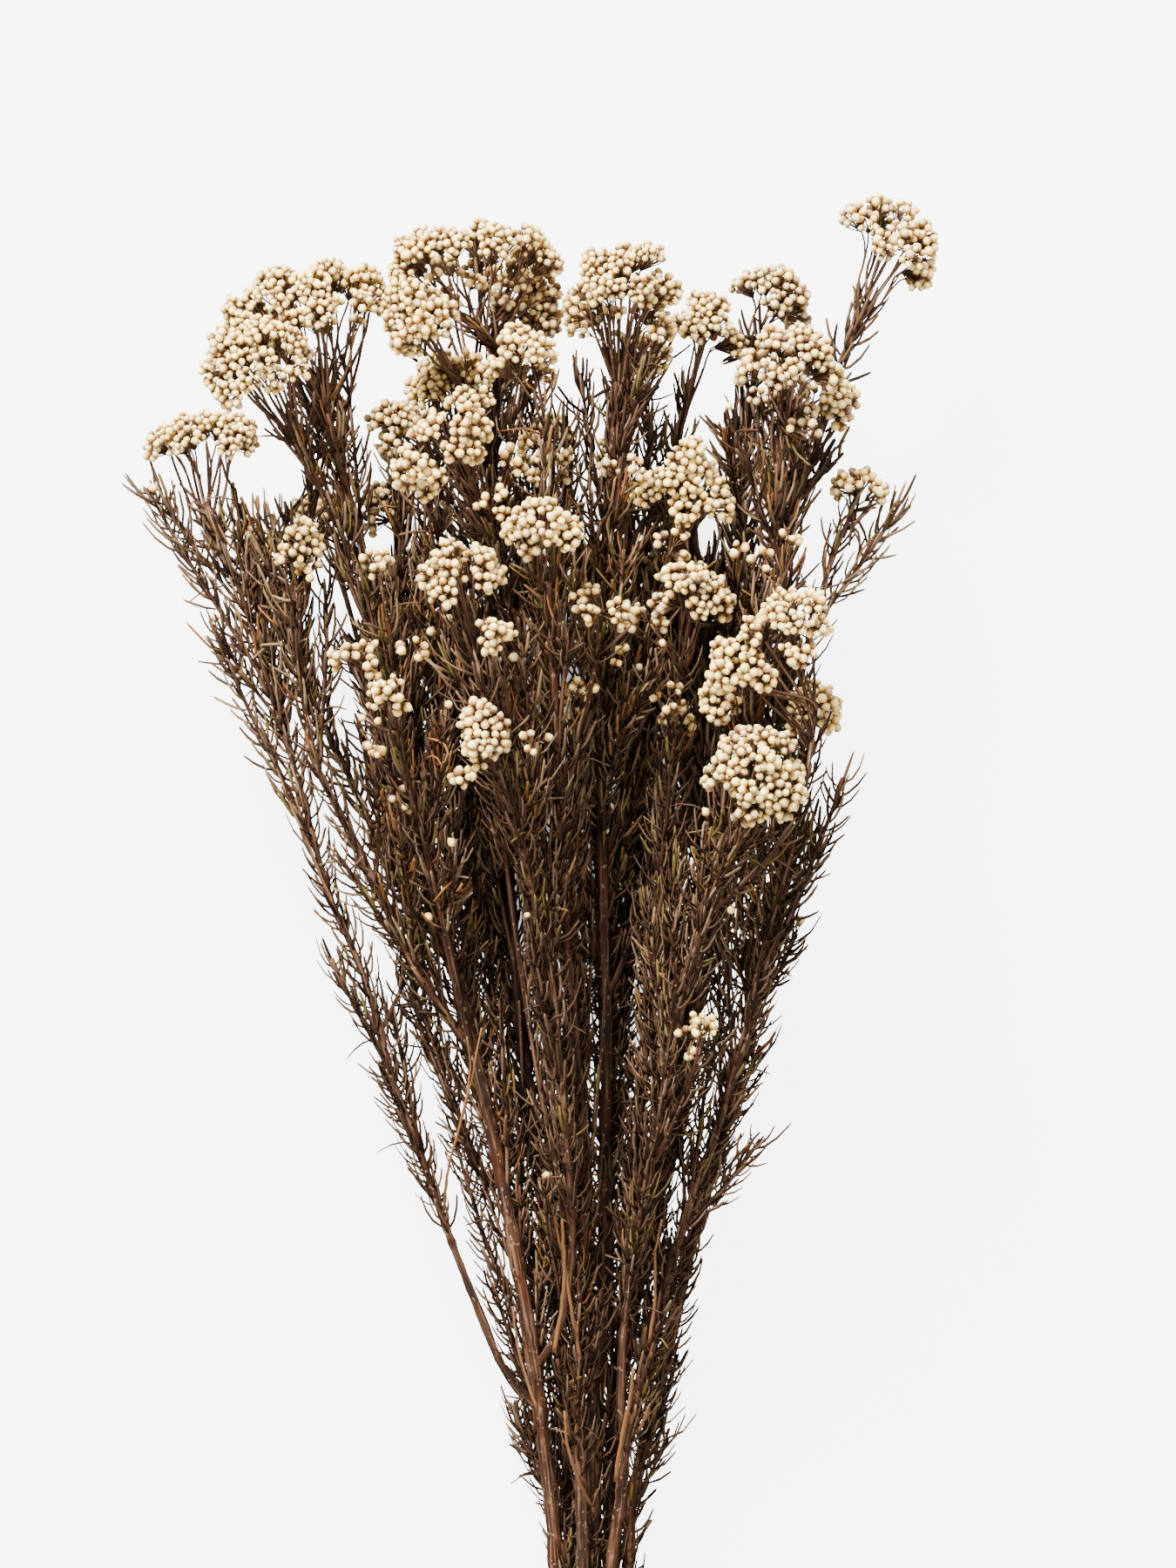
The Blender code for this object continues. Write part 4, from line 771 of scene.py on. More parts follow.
def ray_ends(head):
    """Where the rays of a head meet the plane just under its flat underside."""
    count = 4 if head.size.x > 17 * MM else 3 if head.size.x > 12 * MM else 1
    reach = RAY_SPREAD if count > 1 else 0.0
    plane = head.foot - head.along * GAP
    for k in range(count):
        turn = math.tau * (k + 0.3) / count
        yield (
            plane
            + head.wide * (reach * head.size.x * math.cos(turn))
            + head.deep * (reach * head.size.y * math.sin(turn))
        )


def add_rays(room, head, line):
    for n, end in enumerate(ray_ends(head)):
        start = line.points[-1 - n]
        count = max(2, round((end - start).length / STEP))
        for k in range(count):
            room.add(start.lerp(end, k / count), RAY_RADIUS, rays_of(line))


class Piece:
    """What one piece is made of: places, triangles by their corners' numbers, and marks at each place."""

    def __init__(self):
        self.places, self.faces, self.coats, self.tones, self.count = [], [], [], [], 0

    def add(self, places, faces, coats, tones):
        """Adds a body: a coat is where a place lies on its own strand, leaf or bud, and a tone its shade."""
        places = np.asarray(places, float).reshape(-1, 3)
        self.faces.append(np.asarray(faces).reshape(-1, 3) + self.count)
        self.places.append(places)
        self.coats.append(np.broadcast_to(coats, places.shape))
        self.tones.append(np.broadcast_to(tones, len(places)))
        self.count += len(places)

    def finish(self, name, look, slot, node):
        """Makes the piece, fixes it to what it rides on, and hides the part that it stands for."""
        data = bpy.data.meshes.new(name)
        places, faces = np.concatenate(self.places), np.concatenate(self.faces)
        places[:, 2] = np.maximum(places[:, 2], TABLE_GAP)
        data.vertices.add(len(places))
        data.vertices.foreach_set("co", places.astype(np.float32).ravel())
        data.loops.add(3 * len(faces))
        data.loops.foreach_set("vertex_index", faces.astype(np.int32).ravel())
        data.polygons.add(len(faces))
        data.polygons.foreach_set("loop_start", np.arange(0, 3 * len(faces), 3, dtype=np.int32))
        data.update(calc_edges=True)
        data.polygons.foreach_set("use_smooth", np.ones(len(faces), bool))
        coat = data.attributes.new("coat", "FLOAT_VECTOR", "POINT")
        coat.data.foreach_set("vector", np.concatenate(self.coats).astype(np.float32).ravel())
        tone = data.attributes.new("tone", "FLOAT", "POINT")
        tone.data.foreach_set("value", np.concatenate(self.tones).astype(np.float32))
        data.materials.append(look)
        made = bpy.data.objects.new(name, data)
        bpy.context.scene.collection.objects.link(made)
        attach(made, "root")
        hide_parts(node)


def unit(ways):
    return ways / np.maximum(np.linalg.norm(ways, axis=-1, keepdims=True), 1e-9)


def places_of(points):
    return np.array([tuple(point) for point in points])


def axes_of(head):
    return np.array([head.wide, head.deep, head.along])


def dome_of(head):
    """The middle, axes and half sizes of a flower head's dome."""
    middle = np.array(head.foot + head.along * head.size.z / 2)
    return middle, axes_of(head), np.array([head.size.x, head.size.y, head.size.z / 2])


def reach_along(points):
    """How far along a line each of its points is."""
    return np.concatenate([[0], np.cumsum(np.linalg.norm(np.diff(points, axis=0), axis=1))])


def by_rise(pair, rise):
    """A value between the one low down in the bunch and the one high up."""
    return pair[0] + (pair[1] - pair[0]) * rise


def frames_along(points):
    """The way ahead and two ways across at each point of a line, without twist."""
    ahead = unit(np.gradient(points, axis=0))
    side = np.cross(ahead[0], (0.3, 0.1, 0.9))
    across = np.empty_like(points)
    for i, way in enumerate(ahead):
        side = unit(side - way * side.dot(way))
        across[i] = side
    return ahead, across, np.cross(ahead, across)


def add_tube(piece, points, radii, sides, rng, tone, rough=0.0):
    """A closed round strand along a line, with a fibrous skin where it is rough."""
    points, radii = np.asarray(points, float), np.asarray(radii, float)
    count = len(points)
    _, across, other = frames_along(points)
    turns = np.arange(sides) * math.tau / sides
    fibres = 0.6 * rng.normal(size=sides) + 0.4 * rng.normal(size=(count, sides))
    swell = radii[:, None] * (1 + rough * fibres)
    out = np.cos(turns)[None, :, None] * across[:, None] + np.sin(turns)[None, :, None] * other[:, None]
    rings = points[:, None] + swell[:, :, None] * out
    coats = np.empty((count, sides, 3))
    coats[..., 0] = np.cos(turns) * radii[:, None]
    coats[..., 1] = np.sin(turns) * radii[:, None]
    coats[..., 2] = reach_along(points)[:, None] + rng.uniform(0, 1)
    k = np.arange(sides)
    after = (k + 1) % sides
    starts = np.arange(count - 1)[:, None] * sides
    low, beside = (starts + k).ravel(), (starts + after).ravel()
    faces = [np.stack([low, beside, beside + sides], 1), np.stack([low, beside + sides, low + sides], 1)]
    places, coats = rings.reshape(-1, 3), coats.reshape(-1, 3)
    last = (count - 1) * sides
    if sides == 3:
        faces.append([(2, 1, 0), (last, last + 1, last + 2)])
    else:
        foot, tip = np.full(sides, count * sides), np.full(sides, count * sides + 1)
        faces += [np.stack([foot, after, k], 1), np.stack([tip, k + last, after + last], 1)]
        ahead = unit(points[-1] - points[-2])
        places = np.concatenate([places, [points[0], points[-1] + ahead * radii[-1] * 0.4]])
        coats = np.concatenate([coats, coats[:1], coats[-1:]])
    piece.add(places, np.concatenate(faces), coats, tone)


def add_leaves(piece, profile, feet, ways, uppers, lengths, widths, curls, twists, tones):
    """Closed narrow leaves, flat above, with a keel below, bent and twisted along their length."""
    along, breadths = np.array(profile).T
    count, stations = len(feet), len(along)
    uppers = unit(uppers - ways * np.sum(uppers * ways, axis=1, keepdims=True))
    sides = np.cross(ways, uppers)
    t = along[None, :, None]
    lengths, curls = lengths[:, None, None], curls[:, None, None]
    middle = feet[:, None] + lengths * (ways[:, None] * t + uppers[:, None] * curls * t * t)
    turn = twists[:, None, None] * t
    side = sides[:, None] * np.cos(turn) + uppers[:, None] * np.sin(turn)
    upper = uppers[:, None] * np.cos(turn) - sides[:, None] * np.sin(turn)
    half = 0.5 * widths[:, None, None] * breadths[None, :, None]
    tips = feet + lengths[:, 0] * (ways + uppers * curls[:, 0])
    rows = np.stack([middle - side * half, middle + side * half, middle - upper * half * LEAF_KEEL], axis=2)
    places = np.concatenate([rows.reshape(count, -1, 3), tips[:, None]], axis=1)
    faces = [(0, 1, 2)]
    for s in range(stations - 1):
        for k in range(3):
            a, b = 3 * s + k, 3 * s + (k + 1) % 3
            faces += [(a, a + 3, b + 3), (a, b + 3, b)]
    last = 3 * (stations - 1)
    faces += [(last + k, 3 * stations, last + (k + 1) % 3) for k in range(3)]
    size = 3 * stations + 1
    faces = np.array(faces)[None] + size * np.arange(count)[:, None, None]
    coats = np.zeros((count, size, 3))
    coats[:, :-1, 0] = np.repeat(along, 3)
    coats[:, -1, 0] = 1
    coats[:, :-1, 1] = np.tile((-1, 1, 0), stations)
    coats[:, :, 2] = np.arange(count)[:, None] * 0.37
    piece.add(places, faces, coats.reshape(-1, 3), np.repeat(tones, size))


def bud_template():
    """A bud of overlapping bracts: rings of corners from its foot to its tip, each turned half a step."""
    places = [(0, 0, 0)]
    for n, (height, radius) in enumerate(BUD_RINGS):
        for k in range(BUD_SIDES):
            turn = math.tau * (k + 0.5 * (n % 2)) / BUD_SIDES
            places.append((radius * math.cos(turn), radius * math.sin(turn), 2 * height))
    places.append((0, 0, 2.0))
    ring = [(k, (k + 1) % BUD_SIDES) for k in range(BUD_SIDES)]
    faces = [(0, 1 + after, 1 + k) for k, after in ring]
    for n in range(len(BUD_RINGS) - 1):
        low, high = 1 + n * BUD_SIDES, 1 + (n + 1) * BUD_SIDES
        for k, after in ring:
            if n % 2:
                faces += [(low + k, low + after, high + after), (low + k, high + after, high + k)]
            else:
                faces += [(low + k, low + after, high + k), (low + after, high + after, high + k)]
    top = len(places) - 1
    faces += [(top - BUD_SIDES + k, top - BUD_SIDES + after, top) for k, after in ring]
    return np.array(places, float), np.array(faces)


BUD_PLACES, BUD_FACES = bud_template()


def add_buds(piece, places, outs, radii, tones, rng):
    """Buds whose middles are at the places, each facing out, and none quite like the next."""
    count, size = len(places), len(BUD_PLACES)
    side = unit(np.cross(outs, rng.normal(size=(count, 3))))
    other = np.cross(outs, side)
    shape = np.repeat((BUD_PLACES - (0, 0, 1))[None], count, axis=0)
    shape[:, :, 2] *= rng.uniform(*BUD_HEIGHTS, (count, 1))
    shape[:, :, 0] *= rng.uniform(*BUD_BREADTHS, (count, 1))
    shape *= 1 + BUD_DENTS * rng.normal(size=(count, size, 1))
    shape *= radii[:, None, None]
    moved = places[:, None] + shape[..., :1] * side[:, None] + shape[..., 1:2] * other[:, None]
    moved = moved + shape[..., 2:] * outs[:, None]
    faces = BUD_FACES[None] + size * np.arange(count)[:, None, None]
    coats = np.empty((count, size, 3))
    coats[..., 0] = BUD_PLACES[:, 2] / 2
    turns = np.arctan2(BUD_PLACES[:, 1], BUD_PLACES[:, 0])
    coats[..., 1] = np.cos(turns)
    coats[..., 2] = np.sin(turns) + rng.uniform(0, 50, (count, 1))
    piece.add(moved, faces, coats.reshape(-1, 3), np.repeat(tones, size))


def spiral(count, edge):
    """Ways out, spread evenly over a cap from its pole to where their height is `edge`."""
    i = np.arange(count) + 0.5
    z = 1 - (1 - edge) * i / count
    turn = i * GOLDEN
    r = np.sqrt(np.maximum(0, 1 - z * z))
    return np.stack([r * np.cos(turn), r * np.sin(turn), z], 1)


@dataclass
class Cluster:
    """A small dome of buds within a flower head."""

    foot: np.ndarray
    out: np.ndarray
    radius: float
    tone: float

    def at_depth(self, share):
        """The place that far below the cluster's foot, as a share of its radius."""
        return self.foot - self.out * self.radius * share


def head_clusters(number, head, rng):
    """Spreads clusters over the dome of a flower head."""
    size, axes = np.array(head.size), axes_of(head)
    radius = max(min(CLUSTER_RADIUS, 0.62 * min(size[0], size[1]), 0.8 * size[2]), 0.95 * BUD_SIZE)
    core = np.maximum(size - (radius * 0.8, radius * 0.8, radius * 0.9), 0.5 * MM)
    p = AREA_POWER
    area = math.tau * (((core[0] * core[1]) ** p + 2 * (core[1] * core[2]) ** p) / 3) ** (1 / p)
    count = 1 if size[0] < ONE_CLUSTER else max(3, round(area / (CLUSTER_PITCH**2 * PACKING)))
    ways = spiral(count, DOME_EDGES[0 if head.size.z > THICK_HEAD else 1])
    turn = rng.uniform(0, math.tau)
    cosine, sine = math.cos(turn), math.sin(turn)
    ways = ways @ np.array([[cosine, sine, 0], [-sine, cosine, 0], [0, 0, 1]])
    ways = unit(ways + rng.normal(size=ways.shape) * CLUSTER_STRAY)
    local = ways * core * rng.uniform(*CLUSTER_DEPTHS, (count, 1))
    local[:, 2] = np.maximum(local[:, 2], 0.2 * radius)
    normals = unit(ways / np.maximum(core, 2 * MM))
    normals = unit(normals + (0, 0, CLUSTERS_UP))
    lossy = count > LARGE_HEAD and number not in WHOLE_HEADS
    clusters = []
    for place, normal in zip(local, normals):
        if lossy and rng.uniform() < CLUSTERS_MISSING or opened(number, place / size, axes):
            continue
        foot = np.array(head.foot) + place @ axes
        own_radius = radius * rng.uniform(*CLUSTER_SIZES)
        clusters.append(Cluster(foot, normal @ axes, own_radius, rng.uniform(*CLUSTER_TONES)))
    return clusters


def opened(number, share, axes):
    """Whether a place on a head's dome, as shares of its size, lies in the part that shows its rays."""
    if number not in OPEN_HEADS:
        return False
    kind, limit = OPEN_HEADS[number]
    toward_viewer = (share @ axes)[2]
    if kind == "front":
        return toward_viewer > 0.15 and share[2] < limit
    return math.hypot(share[0], share[1]) < limit


def cluster_buds(cluster, tone, size, rng):
    """The buds of one cluster: middles, ways out, radii and tones, and how many of them are outer ones."""
    side = unit(np.cross(cluster.out, rng.normal(size=3)))
    axes = np.array([side, np.cross(cluster.out, side), cluster.out])
    found = []
    gap, least = BUD_GAP * size / BUD_SIZE, 0.3 * size
    for depth, share, edge, shade in BUD_LAYERS:
        core = cluster.radius - 0.5 * size - depth * size
        if depth and core <= least:
            continue
        core = max(core, least)
        area = math.tau * core * core * (1 - edge)
        count = max(3, round(share * area / (gap * gap * PACKING)))
        ways = unit(spiral(count, edge) @ axes + rng.normal(size=(count, 3)) * 0.10)
        radii = 0.5 * size * rng.uniform(*BUD_RADII, count)
        middles = cluster.foot + ways * core * rng.uniform(0.86, 1.10, (count, 1))
        tones = np.clip(rng.normal(tone + cluster.tone + shade, BUD_TONES, count), 0, 1)
        found.append((middles, ways, radii, tones))
    return [np.concatenate(x) for x in zip(*found)], len(found[0][0])


def sifted(middles, ways, radii, tones):
    """Leaves out buds that would lie mostly inside another."""
    keep = []
    for i in np.argsort(-middles[:, 2]):
        gaps = np.linalg.norm(middles[keep] - middles[i], axis=1)
        if not (gaps < BURIED * (radii[keep] + radii[i])).any():
            keep.append(i)
    keep = np.array(sorted(keep))
    return middles[keep], ways[keep], radii[keep], tones[keep]


def curve_between(start, leave, end, arrive, count):
    return hermite(start, leave, end, arrive, np.linspace(0, 1, count)[:, None])


def add_rays_of_head(piece, head, line, clusters, buds, rng):
    """The rays from a branch's tip to a head's clusters, and a short stalk under each of its buds."""
    seeds = spread_seeds([c.foot for c in clusters], max(1, round(len(clusters) / 2.0)), rng)
    groups = {}
    for cluster in clusters:
        seed = min(seeds, key=lambda s: np.linalg.norm(clusters[s].foot - cluster.foot))
        groups.setdefault(seed, []).append(cluster)
    points = places_of(line.points)
    ahead = unit(points[-1] - points[-4])
    spare = len(points) - 3
    deepest = min(spare, round(LOWEST_RAY * head.size.x / STEP))
    routes = []
    for members in groups.values():
        goal = np.mean([cluster.at_depth(1) for cluster in members], axis=0)
        back = min(spare, 1 + round(rng.uniform(0, 1) * deepest))
        start = points[-1 - back] + rng.normal(size=3) * RAY_STRAY
        fork = start + (goal - start) * (RAY_FORK if len(members) > 1 else 1.0)
        gap = np.linalg.norm(fork - start)
        toward = unit(fork - start)
        arrive = unit(toward + np.array(head.along)) * gap
        route = curve_between(start, ahead * gap, fork, arrive, RAY_POINTS)
        thick = 0.60 + 0.25 * min(1, len(members) / 5)
        radii = np.linspace(thick, 0.46, RAY_POINTS) * MM
        add_tube(piece, route, radii, 4, rng, rng.uniform(0.0, 0.5), 0.08)
        routes.append(route)
        arriving = unit(route[-1] - route[-2])
        for cluster in members:
            base = cluster.at_depth(0.75)
            gap = np.linalg.norm(base - fork)
            if gap > LEAST_TWIG:
                twig = curve_between(fork, arriving * gap, base, cluster.out * gap, 4)
                add_tube(piece, twig, np.linspace(0.42, 0.34, 4) * MM, 3, rng, rng.uniform(0.6, 1.0))
    for cluster, middles in buds:
        for middle in middles:
            add_tube(piece, [cluster.at_depth(0.75), middle], STALK_RADII, 3, rng, rng.uniform(0.6, 1.0))
    return routes


def spread_seeds(places, count, rng):
    """Numbers of places that lie far apart."""
    chosen = [int(rng.integers(len(places)))]
    while len(chosen) < min(count, len(places)):
        far = [min(np.linalg.norm(p - places[c]) for c in chosen) for p in places]
        chosen.append(int(np.argmax(far)))
    return chosen


def leaf_rows(points, radii, leafy_from, rng, spacing):
    """Where a line's leaves grow: feet, ways out, the way ahead and shares of the line's length."""
    reach = reach_along(points)
    start = reach[leafy_from]
    count = max(0, int((reach[-1] - start) / spacing))
    at = start + (np.arange(count) + rng.uniform(-0.4, 0.4, count)) * spacing
    at = np.clip(at, 0, reach[-1])
    turns = np.arange(count) * GOLDEN + rng.uniform(0, math.tau) + rng.normal(size=count) * 0.25

    def along(values):
        return np.stack([np.interp(at, reach, values[:, k]) for k in range(3)], 1)

    way, a, b = (unit(along(ways)) for ways in frames_along(points))
    out = np.cos(turns)[:, None] * a + np.sin(turns)[:, None] * b
    radius = np.interp(at, reach, radii)[:, None]
    return along(points) + out * radius * 0.8, out, way, at / reach[-1]


def outside_heads(places, heads):
    """Which places lie outside every flower head's dome."""
    free = np.ones(len(places), bool)
    for middle, axes, size in map(dome_of, heads):
        share = ((places - middle) @ axes.T) / size
        free &= np.sum(share * share, axis=1) > DOME_CLEAR
    return free


def before_no_head(places, heads):
    """Which places hide no flower head from the viewer."""
    free = np.ones(len(places), bool)
    for number, head in enumerate(heads):
        if head.veiled or HEADS_SEEN <= number < len(HEADS):
            continue
        middle, axes, size = dome_of(head)
        reach, tall = (math.sqrt(sum((axes[k][side] * size[k]) ** 2 for k in range(3))) for side in (0, 1))
        across = (places[:, 0] - middle[0]) / reach
        up = (places[:, 1] - middle[1]) / tall
        free &= (across**2 + up**2 > FACE_CLEAR) | (places[:, 2] < middle[2])
    return free


def picture_places(places):
    """The picture's columns and rows where the viewer sees the places."""
    pixel = pixel_at(places[:, 2])
    return MIDDLE[0] + (places[:, 0] + ASIDE[0]) / pixel, MIDDLE[1] - (places[:, 1] + ASIDE[1]) / pixel


STEMS_IN_SIGHT = []  # their columns, rows, radii and heights


def note_stems_in_sight(limbs):
    """Keeps where the bare stems are that the viewer sees."""
    for name, (first_row, last_row) in IN_SIGHT.items():
        limb = limbs[name]
        places = places_of(limb.points)
        columns, rows = picture_places(places)
        order = [i for i in np.argsort(rows) if first_row < rows[i] < last_row]
        STEMS_IN_SIGHT.append((columns[order], rows[order], np.array(limb.radii)[order], places[order, 2]))


def in_sight(places):
    """Which places lie in no clear part of the picture, and before no bare stem."""
    columns, rows = picture_places(places)
    free = np.ones(len(places), bool)
    for first_column, first_row, last_column, last_row in WHITE_GAPS:
        free &= ~((columns > first_column) & (columns < last_column) & (rows > first_row) & (rows < last_row))
    for stem_columns, stem_rows, radii, heights in STEMS_IN_SIGHT:
        at = np.interp(rows, stem_rows, stem_columns)
        across = np.abs(columns - at) < np.interp(rows, stem_rows, radii) / PIXEL + 0.5
        beside = (rows > stem_rows[0]) & (rows < stem_rows[-1])
        free &= ~(across & beside & (places[:, 2] > np.interp(rows, stem_rows, heights)))
    return free


def dress_line(piece, points, radii, leafy_from, heads, rng, spacing, profile):
    """Covers one line with leaves, which stand off less the higher up the bunch they are."""
    feet, out, way, share = leaf_rows(points, radii, leafy_from, rng, spacing)
    count = len(feet)
    if not count:
        return
    rise = np.clip((feet[:, 1] - LEAF_ROWS[0]) / (LEAF_ROWS[1] - LEAF_ROWS[0]), 0, 1)
    spread = np.radians(by_rise(LEAF_ANGLES, rise) + rng.normal(0, ANGLE_SPREAD, count))[:, None]
    up = np.array([0, 1, 0]) * rng.uniform(0.0, LEAF_UPWARD, (count, 1))
    ways = unit(way * np.cos(spread) + out * np.sin(spread) + up)
    lengths = by_rise(LEAF_LENGTHS, rise)
    lengths *= rng.normal(1, LENGTH_SPREAD, count).clip(0.5, 1.4) * np.where(share > 0.97, 0.75, 1.0)
    uppers = unit(way - ways * np.sum(way * ways, axis=1, keepdims=True) - out * 0.2)
    curls = rng.normal(LEAF_CURL - CURL_DROP * rise, CURL_SPREAD)
    stray = rng.uniform(size=count) < STRAY_LEAVES
    curls = np.where(stray, rng.normal(*STRAY_CURL, count), curls)
    twists = rng.normal(0, TWIST_SPREAD, count)
    widths = by_rise(LEAF_BREADTHS, rise) * rng.normal(1, BREADTH_SPREAD, count).clip(0.7, 1.3)
    widths *= 1 + UNDER_BREADTH * np.interp(feet[:, 2], *UNDER_HEIGHTS) * np.clip(2 * rise, 0, 1)
    # Painted light: leaves are made paler along Y, most of all in the shade of the dense middle
    painted_light = np.interp(feet[:, 1], *LEAF_PAINTED_LIGHT)
    tones = np.clip(rng.uniform(size=count) * LEAF_TONES + rng.uniform(*LINE_TONES) + painted_light, 0, 1)
    free = rng.uniform(size=count) > LEAF_THINNED * rise
    leaves = ways * lengths[:, None]
    for share in (0.0, 0.9):
        free &= outside_heads(feet + leaves * share, heads)
    for share in (0.0, 0.8):
        free &= before_no_head(feet + leaves * share, heads)
    for share in (0.0, 0.3, 0.6, 0.95):
        free &= in_sight(feet + leaves * share)
    if free.any():
        chosen = [values[free] for values in (feet, ways, uppers, lengths, widths, curls, twists, tones)]
        add_leaves(piece, profile, *chosen)


def flower(piece, rays, foliage, head, line, number, tone, heads):
    """One flower head: its buds, and the rays that carry them from its branch."""
    rng = np.random.default_rng(number)
    clusters = head_clusters(number, head, rng)
    size = BUD_SIZE if number <= SMALL_BUDS else LARGE_BUD
    sets, outers = zip(*[cluster_buds(cluster, BUD_TONE + tone, size, rng) for cluster in clusters])
    found = sifted(*(np.concatenate(x) for x in zip(*sets)))
    buds = [(cluster, own[0][:outer]) for cluster, own, outer in zip(clusters, sets, outers)]
    for route in add_rays_of_head(rays, head, line, clusters, buds, rng):
        if head.size.x > LEAFY_RAYS_FROM and number not in BARE_RAYS:
            dress_line(foliage, route[:4], np.full(4, 0.6 * MM), 0, heads, rng, RAY_LEAF_GAP, PLAIN_LEAF)
    add_buds(piece, *found, rng)


class Look:
    """A material, and the nodes that make its colours."""

    def __init__(self, name, roughness, specular):
        self.material = bpy.data.materials.new(name)
        self.material.use_nodes = True
        self.tree = self.material.node_tree
        self.put("Roughness", roughness)
        self.put("Specular IOR Level", specular)

    def feed(self, socket, value):
        """Gives a socket a number, a colour, or what comes out of another node."""
        if isinstance(value, (int, float)):
            socket.default_value = value
        elif isinstance(value, tuple):
            socket.default_value = (*value, 1)
        else:
            self.tree.links.new(value, socket)

    def put(self, name, value):
        """Feeds a socket of the surface itself."""
        self.feed(self.tree.nodes["Principled BSDF"].inputs[name], value)

    def node(self, kind, **values):
        """A new node of a kind, with its sockets fed by name."""
        node = self.tree.nodes.new("ShaderNode" + kind)
        for name, value in values.items():
            self.feed(node.inputs[name], value)
        return node

    def mark(self, name, output):
        """What a piece's places are marked with under that name."""
        node = self.node("Attribute")
        node.attribute_name = name
        return node.outputs[output]

    def ramp(self, source, stops, between="LINEAR"):
        """Colours along a 0 to 1 value. A stop's colour that is one number is a grey."""
        node = self.node("ValToRGB", Fac=source)
        node.color_ramp.interpolation = between
        elements = node.color_ramp.elements
        while len(elements) < len(stops):
            elements.new(0.5)
        for element, (at, colour) in zip(elements, stops):
            element.position = at
            element.color = (*(colour if isinstance(colour, tuple) else (colour,) * 3), 1)
        return node.outputs["Color"]

    def maths(self, operation, first, second):
        node = self.node("Math")
        node.operation = operation
        self.feed(node.inputs[0], first)
        self.feed(node.inputs[1], second)
        return node.outputs[0]

    def times(self, first, second):
        return self.maths("MULTIPLY", first, second)

    def noise(self, vector, scale, stretch, detail):
        """An uneven grey, stretched along each axis of the vector."""
        mapping = self.node("Mapping", Vector=vector)
        mapping.inputs["Scale"].default_value = [scale * s for s in stretch]
        grey = self.node("TexNoise", Scale=1.0, Detail=detail, Vector=mapping.outputs["Vector"])
        return grey.outputs["Fac"]

    def mixed(self, share, first, second, blend="MIX"):
        """A share of the second colour over the first."""
        node = self.node("Mix")
        node.data_type = "RGBA"
        node.blend_type = blend
        factor = next(s for s in node.inputs if s.name == "Factor" and s.type == "VALUE")
        colours = [s for s in node.inputs if s.type == "RGBA"]
        for socket, value in zip((factor, *colours), (share, first, second)):
            self.feed(socket, value)
        return next(s for s in node.outputs if s.type == "RGBA")

    def finish(self, colour, height, strength, distance):
        """Puts the colour and the relief on the surface, and gives the material."""
        self.put("Base Color", colour)
        self.put("Normal", self.node("Bump", Strength=strength, Distance=distance, Height=height).outputs[0])
        return self.material


def bark_look():
    look = Look("bark", 0.75, 0.1)
    coat, tone = look.mark("coat", "Vector"), look.mark("tone", "Fac")
    fibres = look.noise(coat, 1000, (1, 1, 0.04), 6)
    base = look.ramp(fibres, [
        (0.38, (0.003, 0.0011, 0.0004)), (0.46, (0.013, 0.0050, 0.002)),
        (0.54, (0.048, 0.020, 0.0090)), (0.64, (0.135, 0.072, 0.039)),
    ])
    warm = look.ramp(look.noise(coat, 160, (1, 1, 0.35), 3), [
        (0.35, (0.024, 0.013, 0.008)), (0.52, (0.052, 0.019, 0.008)), (0.68, (0.105, 0.030, 0.008)),
    ])
    colour = look.mixed(0.30, base, warm)
    scars = look.ramp(look.noise(coat, 700, (1, 1, 0.8), 1), [(0.66, 0), (0.72, 1)])
    colour = look.mixed(look.times(scars, 0.5), colour, (0.28, 0.18, 0.105))
    # A tone below 0 is darker wood, from 0 to 1 young wood, and above 1 rusty
    shade = look.maths("ADD", look.maths("MINIMUM", tone, 0.0), 1.0)
    colour = look.mixed(1.0, colour, shade, "MULTIPLY")
    colour = look.mixed(look.times(tone, 0.70), colour, (0.105, 0.056, 0.028))
    rusty = look.node("Clamp", Value=look.maths("SUBTRACT", tone, 1.0)).outputs["Result"]
    colour = look.mixed(look.times(rusty, 0.7), colour, (0.16, 0.058, 0.013))
    return look.finish(colour, fibres, 0.8, 0.0006)


def leaf_look():
    look = Look("leaves", 0.65, 0.05)
    coat, tone = look.mark("coat", "Vector"), look.mark("tone", "Fac")
    dry = look.ramp(tone, [
        (0.0, (0.009, 0.0036, 0.0013)), (0.30, (0.024, 0.0118, 0.0056)), (0.48, (0.056, 0.0310, 0.0172)),
        (0.66, (0.114, 0.070, 0.043)), (0.76, (0.072, 0.060, 0.011)), (0.82, (0.135, 0.042, 0.011)),
        (0.89, (0.16, 0.108, 0.054)), (1.0, (0.135, 0.082, 0.047)),
    ])
    blotch = look.noise(coat, 6, (1, 0.3, 1), 3)
    dark = look.ramp(blotch, [(0.35, 0.55), (0.65, (1.25, 1.2, 1.1))])
    colour = look.mixed(1.0, dry, dark, "MULTIPLY")
    # Both edges of each leaf are painted paler: partly pale leaf margins, partly a painted highlight
    pale_and_highlit_rim = look.maths("ABSOLUTE", look.node("SeparateXYZ", Vector=coat).outputs["Y"], 0.0)
    edge = look.times(look.maths("POWER", pale_and_highlit_rim, 3.0), 0.30)
    colour = look.mixed(edge, colour, (0.16, 0.088, 0.048))
    return look.finish(colour, blotch, 0.25, 0.0003)


